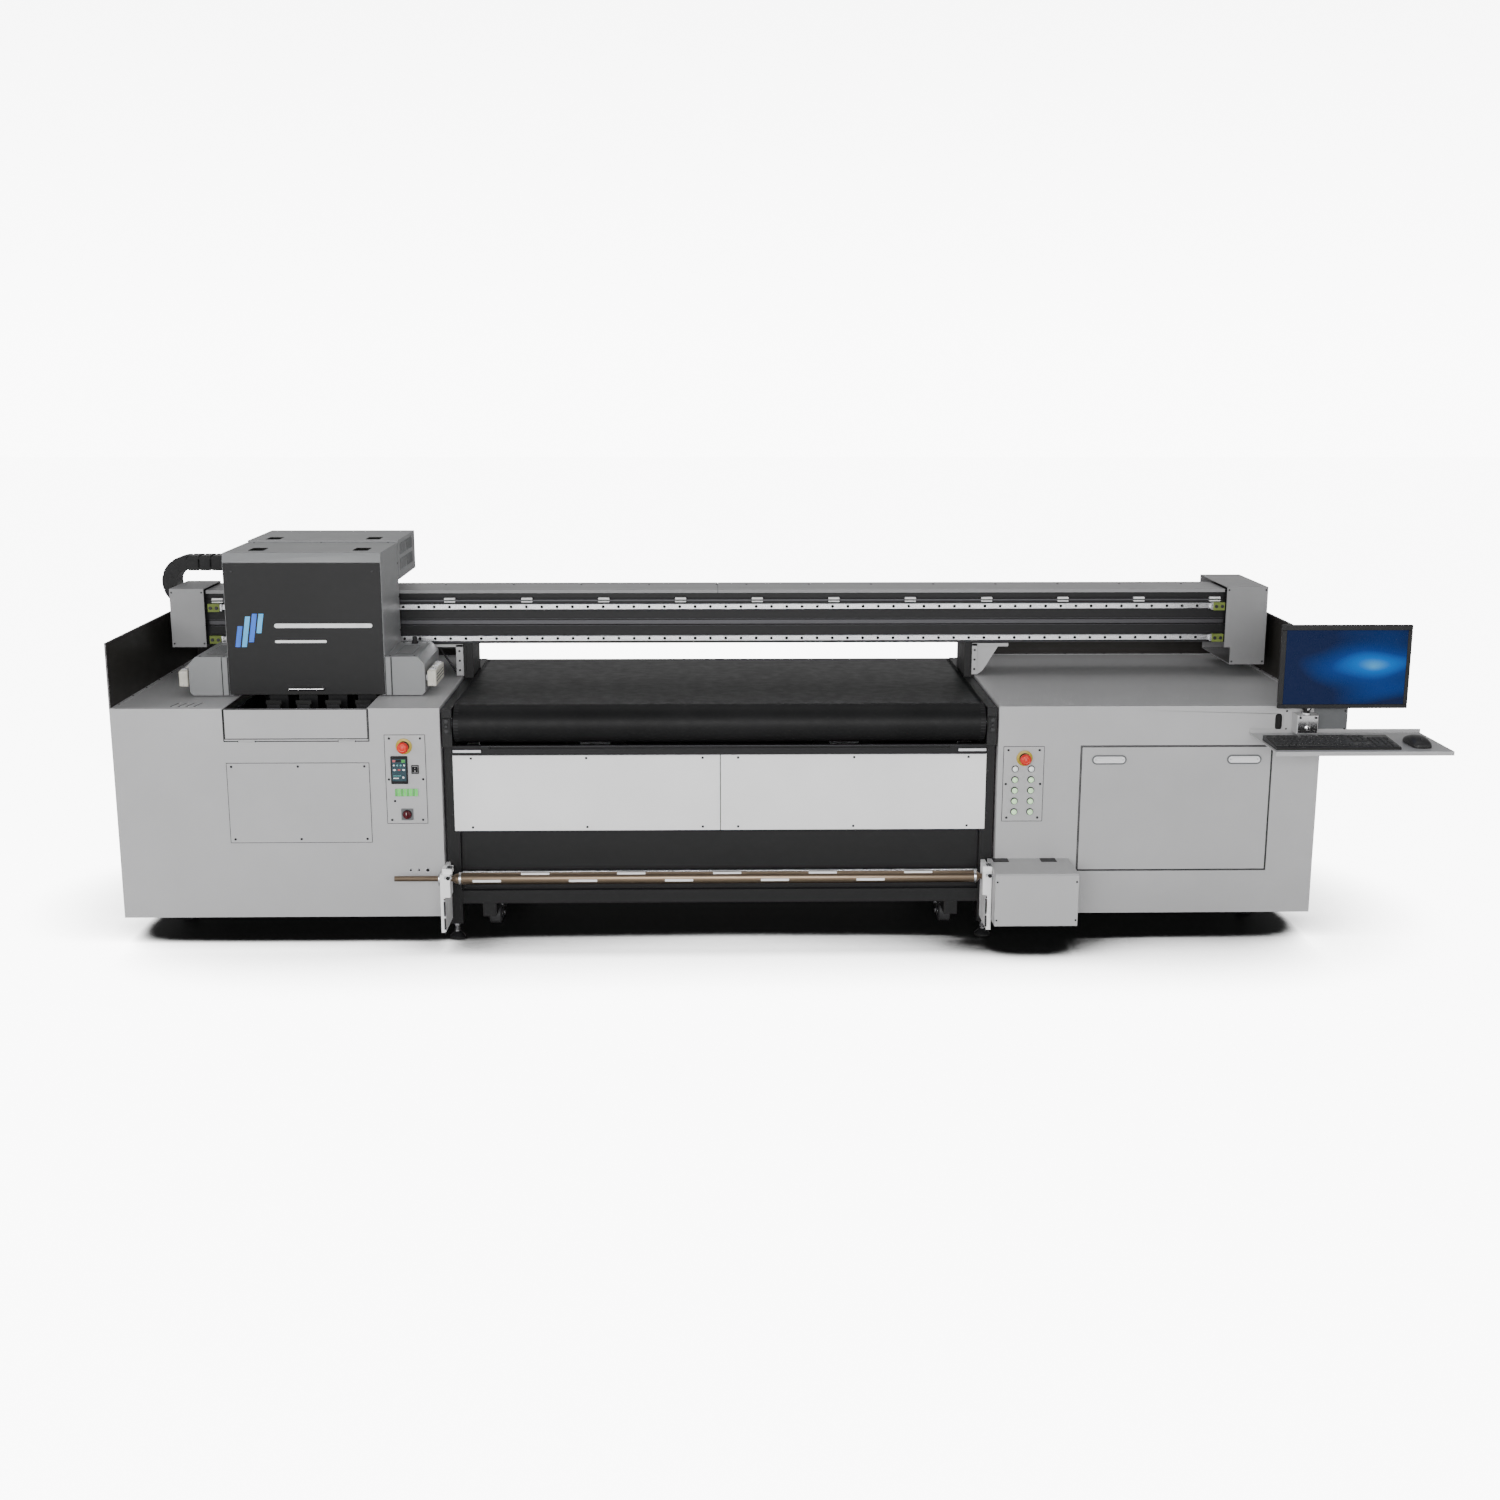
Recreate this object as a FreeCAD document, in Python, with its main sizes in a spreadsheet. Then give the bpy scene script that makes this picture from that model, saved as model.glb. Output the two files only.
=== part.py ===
"""Flatbed UV printer with a belt bed and a roll take-up, as an assembly of separate sub-parts.

All sizes are millimetres, +X right, -Y towards the operator, +Z up, floor at Z = 0. Places are
counted from the machine's mid-plane (X), from the front face of the cabinets (Y) and from the
floor (Z); the helpers add mid_x and front_y, so that the origin is at the middle of the whole box.
"""
import FreeCAD, Part
import math
import os
import re

import Sketcher

# Driving dimensions: alias, value, meaning
SIZES = [
    ("mid_x", -156, "X of the plane midway between the cabinets"),
    ("front_y", -483, "Y of the cabinets' front faces"),
    ("opening_half", 1014, "half the gap between the cabinets"),
    ("cabinet_width", 1181, "outer width of one cabinet"),
    ("cabinet_depth", 1150, "front face to back face"),
    ("cabinet_bottom", 101, "height of the cabinets' lower edge"),
    ("cabinet_top", 885, "height of the cabinets' top face"),
    ("sheet", 3, "sheet metal thickness"),
    ("guard_height", 239, "guard walls above the cabinet tops"),
    ("tube", 50, "square frame tube"),
    ("frame_half", 1008, "outer face of the frame legs from the mid-plane"),
    ("frame_top", 738, "height of the frame's upper rails"),
    ("belt_half", 966, "half the belt's width"),
    ("belt_radius", 70, "outer radius of the belt round its rollers"),
    ("belt_thickness", 2, "belt thickness"),
    ("roller_gap", 0.4, "clearance between a roller and the belt"),
    ("beam_half", 2100, "half the gantry beam's length"),
    ("beam_front", 650, "front face of the beam behind the cabinets' front"),
    ("beam_depth", 216, "beam depth"),
    ("beam_bottom", 1016, "height of the beam's lower face"),
    ("beam_height", 210, "beam height"),
    ("rail_width", 20, "linear rail width"),
    ("rail_height", 17.5, "linear rail height"),
    ("rail_half", 1990, "half the rails' length"),
    ("rail_upper", 1163, "centre height of the upper rail"),
    ("rail_lower", 1038, "centre height of the lower rail"),
    ("carriage_left", -1822, "left side of the carriage housing when parked"),
    ("carriage_width", 578, "carriage housing width"),
    ("carriage_front", 233, "front of the carriage housing"),
    ("carriage_depth", 370, "depth of the carriage housing"),
    ("carriage_bottom", 889, "lower edge of the carriage housing"),
    ("carriage_top", 1419, "top of the carriage housing"),
    ("door_top", 1384, "upper edge of the carriage door"),
    ("lamp_width", 147, "width of one lamp box"),
    ("lamp_height", 145, "height of one lamp box"),
    ("chain_width", 96, "cable chain width"),
    ("chain_height", 64, "cable chain height"),
    ("chain_bend", 75, "bend radius of the chain's middle line"),
    ("chain_axis_z", 1231, "height of the chain loop's centre"),
    ("chain_axis_x", -2137, "chain loop centre when the carriage is parked"),
    ("chain_back", 884, "front side of the chain behind the cabinets' front"),
    ("shaft_radius", 22.5, "media shaft radius"),
    ("shaft_height", 277, "height of the media shafts"),
    ("shaft_reach", 105, "media shaft axis in front of the cabinets"),
    ("button_pitch_x", 59, "push-button columns"),
    ("button_pitch_z", 40.3, "push-button rows"),
    ("wheel_radius", 38, "caster wheel radius"),
    ("wheel_width", 46, "caster wheel width"),
    ("wheel_clear", 4, "caster wheels above the floor when the feet are down"),
    ("post_thickness", 36, "thickness of the side plates that carry the rollers and the beam"),
    ("head_length", 70, "print head and cap, along the beam"),
    ("head_depth", 100, "print head and cap, front to back"),
    ("tank_length", 140, "ink tank, along the beam"),
    ("tank_depth", 260, "ink tank, front to back"),
    ("tank_height", 290, "ink tank, upwards"),
    ("plate_thickness", 1.5, "cover plates on the cabinet fronts"),
]

doc = FreeCAD.newDocument("uv_printer")
sheet = doc.addObject("Spreadsheet::Sheet", "sizes")
for row, (alias, value, meaning) in enumerate(SIZES, start=1):
    sheet.set("A%d" % row, meaning)
    sheet.set("B%d" % row, str(value))
    sheet.setAlias("B%d" % row, alias)
doc.recompute()

ALIASES = {alias for alias, value, meaning in SIZES}
VALUES = {alias: value for alias, value, meaning in SIZES}
WORD = re.compile(r"[a-z_]+")
nodes = []


def bound(text):
    """The expression with each driving dimension read from the sheet."""
    return WORD.sub(lambda found: "sizes." + found.group() if found.group() in ALIASES
                    else found.group(), str(text))


def size(alias):
    return VALUES[alias]


def bind(obj, **sizes):
    for name, text in sizes.items():
        obj.setExpression(name, bound(text))
    return obj


def place(obj, x, y, z, rotation=None):
    """Put obj at x, y, z counted from the mid-plane, the cabinets' front and the floor."""
    if rotation is not None:
        obj.Placement = FreeCAD.Placement(FreeCAD.Vector(), rotation)
    obj.setExpression("Placement.Base.x", bound("mid_x + (%s)" % x))
    obj.setExpression("Placement.Base.y", bound("front_y + (%s)" % y))
    obj.setExpression("Placement.Base.z", bound("0 + (%s)" % z))
    return obj


def block(x, y, z, length, depth, height):
    """A box from its lowest corner."""
    box = doc.addObject("Part::Box", "block")
    bind(box, Length=length, Width=depth, Height=height)
    return place(box, x, y, z)


def side_block(side, inner, y, z, length, depth, height):
    """A box whose inner face lies the given way from the mid-plane, on side -1 or +1."""
    x = inner if side > 0 else "-(%s) - (%s)" % (inner, length)
    return block(x, y, z, length, depth, height)


TURNS = {
    "x": FreeCAD.Rotation(FreeCAD.Vector(0, 1, 0), 90),
    "y": FreeCAD.Rotation(FreeCAD.Vector(1, 0, 0), -90),
    "-y": FreeCAD.Rotation(FreeCAD.Vector(1, 0, 0), 90),
    "z": FreeCAD.Rotation(),
}


def rod(axis, x, y, z, radius, length):
    """A cylinder that starts at x, y, z and runs along the axis."""
    cylinder = doc.addObject("Part::Cylinder", "rod")
    bind(cylinder, Radius=radius, Height=length)
    return place(cylinder, x, y, z, TURNS[axis])


def group(pieces):
    compound = doc.addObject("Part::Compound", "group")
    compound.Links = pieces
    return compound


def fuse(pieces):
    union = doc.addObject("Part::MultiFuse", "fuse")
    union.Shapes = pieces
    return union


def cut(base, tools):
    difference = doc.addObject("Part::Cut", "cut")
    difference.Base = base
    difference.Tool = tools[0] if len(tools) == 1 else group(tools)
    return difference


def origin_plane(body, role):
    return next(plane for plane in body.Origin.OriginFeatures if plane.Role == role)


def outline(body, plane, points):
    """A closed sketch of straight lines, each corner held by two dimensions bound to the sheet."""
    sketch = body.newObject("Sketcher::SketchObject", "outline")
    sketch.AttachmentSupport = [(origin_plane(body, plane), "")]
    sketch.MapMode = "FlatFace"
    start = [FreeCAD.Vector(number(u), number(v), 0) for u, v in points]
    count = len(start)
    for i in range(count):
        sketch.addGeometry(Part.LineSegment(start[i], start[(i + 1) % count]), False)
    for i in range(count):
        sketch.addConstraint(Sketcher.Constraint("Coincident", i, 2, (i + 1) % count, 1))
    for i, (u, v) in enumerate(points):
        for kind, text, line in (("DistanceX", u, -2), ("DistanceY", v, -1)):
            value = number(text)
            if abs(value) < 1e-9:
                sketch.addConstraint(Sketcher.Constraint("PointOnObject", i, 1, line))
                continue
            index = sketch.addConstraint(Sketcher.Constraint(kind, -1, 1, i, 1, value))
            sketch.setExpression("Constraints[%d]" % index, bound(text))
    return sketch


def number(text):
    """The present value of a size expression."""
    total = WORD.sub(lambda found: repr(size(found.group())), str(text)).replace(" ", "")
    parts = re.findall(r"[-+]?[^-+]+", total.replace("--", "+").replace("+-", "-"))
    return sum(math.prod(float(factor) for factor in part.split("*")) for part in parts)


def turned(points, axis, x, y, z):
    """A PartDesign body turned about its axis: points are (radius, distance along the axis)."""
    body = doc.addObject("PartDesign::Body", "turned")
    sketch = outline(body, "XZ_Plane", points)
    revolution = body.newObject("PartDesign::Revolution", "revolution")
    revolution.Profile = sketch
    revolution.ReferenceAxis = (sketch, ["V_Axis"])
    revolution.Angle = 360
    return place(body, x, y, z, TURNS[axis])


def pressed(points, length, x, y, z, plane="YZ_Plane"):
    """A PartDesign body: an outline in its own plane, padded by the length."""
    body = doc.addObject("PartDesign::Body", "pressed")
    sketch = outline(body, plane, points)
    pad = body.newObject("PartDesign::Pad", "pad")
    pad.Profile = sketch
    pad.setExpression("Length", bound(length))
    return place(body, x, y, z)


def node(label, shape):
    shape.Label = label
    nodes.append(shape)
    return shape


def base_frame():
    """Welded square tube frame under the belt, with rails that run out under both cabinets."""
    full = "2*frame_half - 2*tube"
    tubes = [
        block("tube - frame_half", 36, 138, full, "tube", "tube"),
        block("tube - frame_half", 1050, 138, full, "tube", "tube"),
    ]
    for side in (-1, 1):
        inner = "frame_half - tube"
        for y in (36, 1050):
            tubes.append(side_block(side, inner, y, 60, "tube", "tube", "frame_top - 60"))
        for z in ("138", "frame_top - tube"):
            tubes.append(side_block(side, inner, 86, z, "tube", 964, "tube"))
        tubes.append(side_block(side, 833, 36, 88, "tube", 1064, "tube"))
        for y in (300, 850):
            tubes.append(side_block(side, "frame_half", y, "cabinet_bottom", 1150, "tube", "tube"))
    front_skirt = block("tube - frame_half", 60, 188, full, 2, 242)
    rear_skirt = block("tube - frame_half", 1088, 188, full, 2, 540)
    node("base_frame", group([*tubes, front_skirt, rear_skirt]))


def cabinet(label, side, windows, top_windows):
    """Sheet metal panels: front and top with their cut-outs, two sides and the back."""
    inner = "opening_half"
    outer = "opening_half + cabinet_width - sheet"
    walls = "cabinet_depth - 2*sheet"
    front = side_block(side, inner, 0, "cabinet_bottom", "cabinet_width", "sheet",
                       "cabinet_top - cabinet_bottom")
    top = side_block(side, inner, "sheet", "cabinet_top - sheet", "cabinet_width",
                     "cabinet_depth - sheet", "sheet")
    panels = [
        cut(front, windows),
        cut(top, top_windows) if top_windows else top,
        side_block(side, outer, "sheet", "cabinet_bottom", "sheet", walls,
                   "cabinet_top - sheet - cabinet_bottom"),
        side_block(side, inner, "sheet", 155, "sheet", walls, "cabinet_top - sheet - 155"),
        side_block(side, inner, "cabinet_depth - sheet", "cabinet_bottom", "cabinet_width",
                   "sheet", "cabinet_top - sheet - cabinet_bottom"),
    ]
    node(label, group(panels))


def left_cabinet():
    flap = block(-1793.5, -1, 762.5, 525, 5, 130)
    service = block(-1775, -1, 400, 488, 5, 272)
    control = block(-1203, -1, 470, 122, 5, 305)
    capping = block(-1789, 2, "cabinet_top - 5", 516, 598, 10)
    cabinet("left_cabinet", -1, [flap, service, control], [capping])


def right_cabinet():
    door = block(1315, -1, 263, 707, 5, 476)
    control = block(1045, -1, 468, 125, 5, 256)
    slot = fuse([block(2024, -1, 808, 22, 5, 36), rod("y", 2035, -1, 808, 11, 5),
                 rod("y", 2035, -1, 844, 11, 5)])
    cabinet("right_cabinet", 1, [door, control, slot], [])


# Cover plates: left side, lower edge, length, height, and the screws along one edge
PLATES = [(-1789, 385, 516, 300, 3), (-1216, 456, 148, 332, 2), (1032.5, 455, 150, 282, 2)]


def cover_plates():
    """The left service cover and the two control plates, screwed on over their cut-outs."""
    node("cover_plates", group([
        block(x, "0 - plate_thickness", z, length, "plate_thickness", height)
        for x, z, length, height, count in PLATES]))


def front_panels():
    node("front_panels", group([side_block(side, 1.5, 33, 418, 974.5, 3, 286)
                                for side in (-1, 1)]))


def media_guides():
    """Slotted guide beam under the belt, its two end stops and the thin tension rod below."""
    beam = cut(block(-972, 14, 706, 1944, 22, 36), [block(-839, 13, 731, 1678, 8, 7)])
    stops = [side_block(side, 868, 8, 717, 104, 6, 12) for side in (-1, 1)]
    tension_rod = rod("x", "tube - frame_half", 48, 256, 6, "2*frame_half - 2*tube")
    node("media_guides", group([beam, *stops, tension_rod]))


def gantry_posts():
    """Side plates that carry the rollers and rise as posts under the beam, with their gussets."""
    profile = [("10", "0"), ("1110", "0"), ("1110", "140"), ("870", "140"),
               ("870", "beam_bottom - frame_top"), ("650", "beam_bottom - frame_top"),
               ("650", "140"), ("10", "140")]
    pieces = []
    for side in (-1, 1):
        x = "frame_half - post_thickness" if side > 0 else "0 - frame_half"
        plate = pressed(profile, "post_thickness", x, 0, "frame_top")
        bores = [rod("x", "%s - 1" % x, y, "cabinet_top - belt_radius", 20.05,
                     "post_thickness + 2") for y in AXLES]
        pieces.append(cut(plate, bores))
        corners = [(26, 0), (172, 0), (172, -16), (133, -16), (71, -114), (26, -129)]
        web = pressed([(str(side * x), str(z)) for x, z in corners], "-4",
                      side * 972, 646, "beam_bottom", "XZ_Plane")
        if side < 0:
            hole = pressed([("-46", "-20"), ("-124", "-20"), ("-62", "-112"), ("-46", "-116")],
                           "-6", -972, 645, "beam_bottom", "XZ_Plane")
            web = cut(web, [hole])
        pieces.append(web)
    node("gantry_posts", group(pieces))


AXLES = (70, 1047)      # distance of the front and rear roller axes behind the front face


def stadium(radius, half_width):
    """The solid inside a belt line of this radius round both roller axes."""
    middle = block("0 - %s" % half_width, AXLES[0], "cabinet_top - belt_radius - (%s)" % radius,
                   "2*%s" % half_width, AXLES[1] - AXLES[0], "2*(%s)" % radius)
    ends = [rod("x", "0 - %s" % half_width, y, "cabinet_top - belt_radius", radius,
                "2*%s" % half_width) for y in AXLES]
    return fuse([middle, *ends])


def conveyor():
    outer = stadium("belt_radius", "belt_half")
    inner = stadium("belt_radius - belt_thickness", "(belt_half + 1)")
    node("conveyor_belt", cut(outer, [inner]))
    bed = cut(block(-950, 150, 795, 1900, 817, 87.6), [block(-945, 155, 790, 1890, 807, 87.6)])
    beams = [block(-972, y, 755, 1944, 60, 40) for y in (250, 800)]
    node("vacuum_bed", fuse([bed, *beams]))
    drum = "belt_radius - belt_thickness - roller_gap"
    profile = [("0", "0"), ("20", "0"), ("20", "30"), (drum, "30"), (drum, "1950"),
               ("20", "1950"), ("20", "1980"), ("0", "1980")]
    for label, y in zip(("front_roller", "rear_roller"), AXLES):
        node(label, turned(profile, "x", -990, y, "cabinet_top - belt_radius"))


def gantry_beam():
    """Hollow aluminium beam with an upper groove and a middle groove in its front."""
    outer = block("0 - beam_half", "beam_front", "beam_bottom", "2*beam_half", "beam_depth",
                  "beam_height")
    inside = block("0 - beam_half - 1", "beam_front + 12", "beam_bottom + 12",
                   "2*beam_half + 2", "beam_depth - 24", "beam_height - 24")
    grooves = [block("0 - beam_half - 1", "beam_front - 1", z, "2*beam_half + 2", 9, height)
               for z, height in ((1190, 28), (1089, 23))]
    node("gantry_beam", cut(outer, [inside, *grooves]))


def beam_covers():
    """Two top covers with a front lip, and a hollow cover over each end of the beam."""
    top = "beam_bottom + beam_height"
    pieces = []
    for x, length in ((-2001, 1994.5), (-4.5, 1999)):
        pieces.append(fuse([block(x, 640, top, length, 226, 3),
                            block(x, 640, "%s - 10" % top, length, 2, 10)]))
    left_walls = [
        block(-2134, 610, 1010, "sheet", 260, 228),
        block(-2131, 610, 1010, 129, "sheet", 228),
        block(-2131, 867, 1010, 129, "sheet", 228),
        block(-2131, 613, 1010, 129, 254, "sheet"),
        block(-2131, 613, 1235, 129, 254, "sheet"),
    ]
    notch = block(1990, 600, 930, 29, 420, 70)
    right_walls = [
        block(2154, 610, 932, "sheet", 406, 308),
        cut(block(1995, 610, 932, 159, "sheet", 308), [notch]),
        cut(block(1995, 1013, 932, 159, "sheet", 308), [notch]),
        block(2019, 613, 932, 135, 400, "sheet"),
        block(1995, 613, 1237, 159, 400, "sheet"),
    ]
    node("beam_covers", group([*pieces, *left_walls, *right_walls]))


def rails():
    heights = ("rail_upper", "rail_lower")
    node("linear_rails", group([
        block("0 - rail_half", "beam_front - rail_height", "%s - 0.5*rail_width" % z,
              "2*rail_half", "rail_height", "rail_width") for z in heights]))
    node("rail_bumpers", group([
        side_block(side, "rail_half - 45", "beam_front - rail_height - 20.5", "%s - 15.5" % z,
                   45, 20, 31) for side in (-1, 1) for z in heights]))
    clips = [block(-1979 + 301 * i, 634, 1180, 43, 16, 18) for i in range(14)]
    strip = block(-1979, 633.3, 1184, 3957, 0.7, 8)
    node("encoder_strip", group([*clips, strip]))


def guard_panels():
    pieces = []
    for side in (-1, 1):
        pieces.append(side_block(side, "opening_half + cabinet_width - sheet", 0, "cabinet_top",
                                 "sheet", "cabinet_depth", "guard_height"))
        pieces.append(side_block(side, 1060, "cabinet_depth - sheet", "cabinet_top",
                                 "opening_half + cabinet_width - sheet - 1060", "sheet",
                                 "guard_height"))
    node("guard_panels", group(pieces))


HEAD_X = [-1690 + 110 * i for i in range(4)]      # left sides of the print heads when parked
HEAD_Y = (290, 430)                               # fronts of the two rows of print heads


def capping_station():
    """Tray under the parked carriage: eight cap posts and two legs down to the frame."""
    left, front, floor, length, depth, wall, height = -1785, 12, 760, 508, 580, 5, 85
    inside = floor + wall
    tray = [
        block(left, front, floor, length, depth, wall),
        block(left, front, inside, length, wall, height),
        block(left, front + depth - wall, inside, length, wall, height),
        block(left, front + wall, inside, wall, depth - 2 * wall, height),
        block(left + length - wall, front + wall, inside, wall, depth - 2 * wall, height),
    ]
    legs = [block(x, 310, 151, 30, 30, floor - 151) for x in (-1760, -1332)]
    caps = [block(x, y, inside, "head_length", "head_depth", 119) for x in HEAD_X for y in HEAD_Y]
    node("capping_station", group([*tray, *legs, *caps]))


def ink_tanks():
    """Four tanks with their caps, side by side on a shelf behind the ink door."""
    left_sides = [1345 + 165 * i for i in range(4)]
    base = 330
    tanks = [block(x, 45, base, "tank_length", "tank_depth", "tank_height") for x in left_sides]
    caps = [rod("z", "%d + 0.5*tank_length" % x, 110, "%d + tank_height" % base, 22, 18)
            for x in left_sides]
    shelf = block(1335, 35, base - 8, 660, 330, 8)
    legs = [block(x, 310, 151, 30, 30, 171) for x in (1350, 1950)]
    node("ink_tanks", group([*tanks, *caps, shelf, *legs]))


# Feet under the frame's legs and under the cabinets: place, and height of the stem's upper end
FEET = ([(x, y, 60) for x in (-983, 983) for y in (61, 1075)]
        + [(x, y, 101) for x in (-2050, 2050) for y in (325, 875)])
CASTERS = [(-858, 225), (858, 225), (-858, 925), (858, 925)]


def feet_and_casters():
    """Eight levelling feet, locked by their nuts, and four fixed casters a little off the floor."""
    feet = []
    for x, y, height in FEET:
        profile = [("0", "0"), ("29", "0"), ("29", "7"), ("12", "24"), ("8", "24"),
                   ("8", str(height)), ("0", str(height))]
        feet.append(turned(profile, "z", x, y, 0))
    node("levelling_feet", group(feet))
    axle_z = "wheel_radius + wheel_clear"
    forks = []
    for count, (x, y) in enumerate(CASTERS, start=1):
        cheeks = [block(x + offset, y - 18, 30, 4, 36, 54) for offset in (-30, 26)]
        plate = block(x - 46, y - 50, 84, 92, 100, 4)
        axle = rod("x", x - 30, y, axle_z, 6, 60)
        forks.append(fuse([plate, *cheeks, axle]))
        rim = "wheel_radius"
        profile = [("6.05", "0"), (rim + " - 8", "0"), (rim, "4"), (rim, "wheel_width - 4"),
                   (rim + " - 8", "wheel_width"), ("6.05", "wheel_width")]
        node("caster_wheel_%d" % count,
             turned(profile, "x", "%d - 0.5*wheel_width" % x, y, axle_z))
    node("caster_forks", group(forks))


def shaft_bracket(x, y, block_x, cap_x, out):
    """Side plate, chuck block and latch of one shaft end; out is -1 at the front, +1 at the rear."""
    axis_y = "%s + (%d)*shaft_reach" % (y, out)
    plate_y = -140 if out < 0 else 1100
    plate = block(x, plate_y, 83, 16, 176 if out < 0 else 190, 217)
    head_y = -140 if out < 0 else 1220
    head = block(block_x, head_y, 215, 20, 70, 85)
    latch = block(cap_x, head_y + 10, 300, 34, 50, 20)
    bore = rod("x", min(x, block_x) - 1, axis_y, "shaft_height", 10.05, 40)
    return cut(fuse([plate, head, latch]), [bore])


def media_shafts():
    """Take-up shaft at the front and feed shaft at the rear, each in its pair of brackets."""
    node("shaft_brackets", group([
        shaft_bracket(-1012, "0", -996, -1004, -1),
        shaft_bracket(966, "0", 950, 950, -1),
        shaft_bracket(-1012, "cabinet_depth", -996, -1004, 1),
        shaft_bracket(996, "cabinet_depth", 976, 970, 1),
    ]))
    radius = "shaft_radius"
    takeup = [("0", "0"), ("10", "0"), ("10", "208"), ("19", "222"), ("19", "230"),
              (radius, "232"), (radius, "2110"), ("19", "2112"), ("10", "2124"), ("10", "2180"),
              ("0", "2180")]
    node("takeup_shaft", turned(takeup, "x", -1180, "0 - shaft_reach", "shaft_height"))
    feed = [("0", "0"), ("10", "0"), ("10", "62"), ("19", "74"), (radius, "82"),
            (radius, "1978"), ("19", "1986"), ("10", "1998"), ("10", "2060"), ("0", "2060")]
    node("feed_shaft", turned(feed, "x", -1030, "cabinet_depth + shaft_reach", "shaft_height"))


def drive_box():
    """Sheet metal box at the right end of the take-up shaft, with its gear motor inside."""
    profile = [("0", "0"), ("-210", "0"), ("-210", "188"), ("-204", "194"), ("0", "194")]
    shell = cut(pressed(profile, "300", 985, 0, 119),
                [block(988, -207, 122, 294, 204, 186),
                 rod("x", 984, "0 - shaft_reach", "shaft_height", 10.3, 6)])
    motor = fuse([block(1020, -150, 125, 60, 90, 178), rod("x", 1080, -105, 190, 38, 150)])
    node("drive_box", group([shell, motor]))


def carriage():
    """Slide with bearing blocks and rear box; the housing with its heads and lamps lifts on it."""
    left, width = "carriage_left", "carriage_width"
    plate = block("%s + 7" % left, 612, 1005, "%s - 14" % width, 8, 400)
    bearings = []
    for x in (20, 479):
        for z in ("rail_upper", "rail_lower"):
            body = block("%s + %d" % (left, x), 620, "%s - 16" % z, 77, 26, 32)
            slot = block("%s + %d" % (left, x - 1), 632, "%s - 10.5" % z, 79, 20, 21)
            bearings.append(cut(body, [slot]))
    node("carriage_plate", fuse([plate, *bearings]))

    box = block(left, 620, 1273, width, 400, 152)
    inside = block("%s + 3" % left, 623, 1276, "%s - 6" % width, 394, 146)
    chain_entry = block("%s - 1" % left, 881, 1272, 5, 102, 69)
    recesses = [block("%s + %d" % (left, x), 660, 1419, 50, 80, 10) for x in (62, 449)]
    node("carriage_rear_box", cut(box, [inside, chain_entry, *recesses]))

    depth = "carriage_depth"
    rise = "carriage_top - carriage_bottom"
    profile = [("0", "0"), (depth, "0"), (depth, rise), ("10", rise),
               ("-4", "door_top - carriage_bottom + 2"), ("0", "door_top - carriage_bottom + 1")]
    shell = pressed(profile, width, left, "carriage_front", "carriage_bottom")
    inside = block("%s + 3" % left, 236, 880, "%s - 6" % width, 364, 510)
    attic = block("%s + 3" % left, 246, 1380, "%s - 6" % width, 354, 36)
    doorway = block("%s + 14" % left, 220, 880, "%s - 28" % width, 30, 493)
    recesses = [block("%s + %d" % (left, x), 315, 1413, 50, 80, 10) for x in (80, 465)]
    node("carriage_housing", cut(shell, [inside, attic, doorway, *recesses]))

    carrier = block("%s + 4" % left, 243, 903, "%s - 8" % width, 350, 6)
    heads = [block(x, y, 887.5, "head_length", "head_depth", 62) for x in HEAD_X for y in HEAD_Y]
    node("print_heads", fuse([carrier, *heads]))

    lamp = [(0, 0, "0"), (1, -12, "0"), (1, 0, "13"), (1, 0, "lamp_height - 28"),
            (1, -26, "lamp_height"), (0, 0, "lamp_height")]
    lamps, bars = [], []
    for side in (-1, 1):
        corners = [("%d*lamp_width + %d" % (side * widths, side * inset), v)
                   for widths, inset, v in lamp]
        foot = left if side < 0 else "%s + %s" % (left, width)
        body = pressed(corners, "-356", foot, "carriage_front", "carriage_bottom", "XZ_Plane")
        window = block("%s + %d" % (foot, 20 if side > 0 else -120), 245, 885, 100, 330, 110)
        lamps.append(cut(body, [window]))
        outer = "%s + %d*lamp_width" % (foot, side)
        bar = block("%s + %d" % (outer, 8 if side > 0 else -40), 240, 920, 32, 200, 61)
        lug = block("%s + %d" % (outer, 0 if side > 0 else -8), 300, 935, 8, 60, 30)
        bars.append(fuse([bar, lug]))
    node("uv_lamps", group(lamps))
    node("ion_bars", group(bars))

    panel = block("%s + 2" % left, 228.7, "carriage_bottom + 3", "%s - 4" % width, 4,
                  "door_top - carriage_bottom - 4.5")
    grip = rod("x", -1601, 208, 917, 5, 132)
    posts = [rod("y", x, 208, 917, 4, 21) for x in (-1594, -1476)]
    node("carriage_door", fuse([panel, grip, *posts]))


def cable_chain():
    """Chain from the tray behind the beam round its loop and into the carriage's rear box."""
    loop_x, loop_z = "chain_axis_x", "chain_axis_z"
    lower = "%s - chain_bend - 0.5*chain_height" % loop_z
    upper = "%s + chain_bend - 0.5*chain_height" % loop_z
    outer = "chain_bend + 0.5*chain_height"
    node("cable_chain_upper", block(loop_x, "chain_back", upper, 318, "chain_width",
                                    "chain_height"))
    node("cable_chain_lower", block(loop_x, "chain_back", lower, 1657, "chain_width",
                                    "chain_height"))
    ring = rod("y", loop_x, "chain_back", loop_z, outer, "chain_width")
    bore = rod("y", loop_x, "chain_back - 1", loop_z, "chain_bend - 0.5*chain_height",
               "chain_width + 2")
    right = block(loop_x, "chain_back - 1", "%s - 110" % loop_z, 120, "chain_width + 2", 220)
    node("cable_chain_loop", cut(ring, [bore, right]))
    node("chain_tray", group([block(-2001, "beam_front + beam_depth", 1112, 1641, 124, 4),
                              block(-2100, 870.5, 1112, 99, 119.5, 4),
                              block(-2100, 990, 1112, 1740, 4, 90)]))


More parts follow.
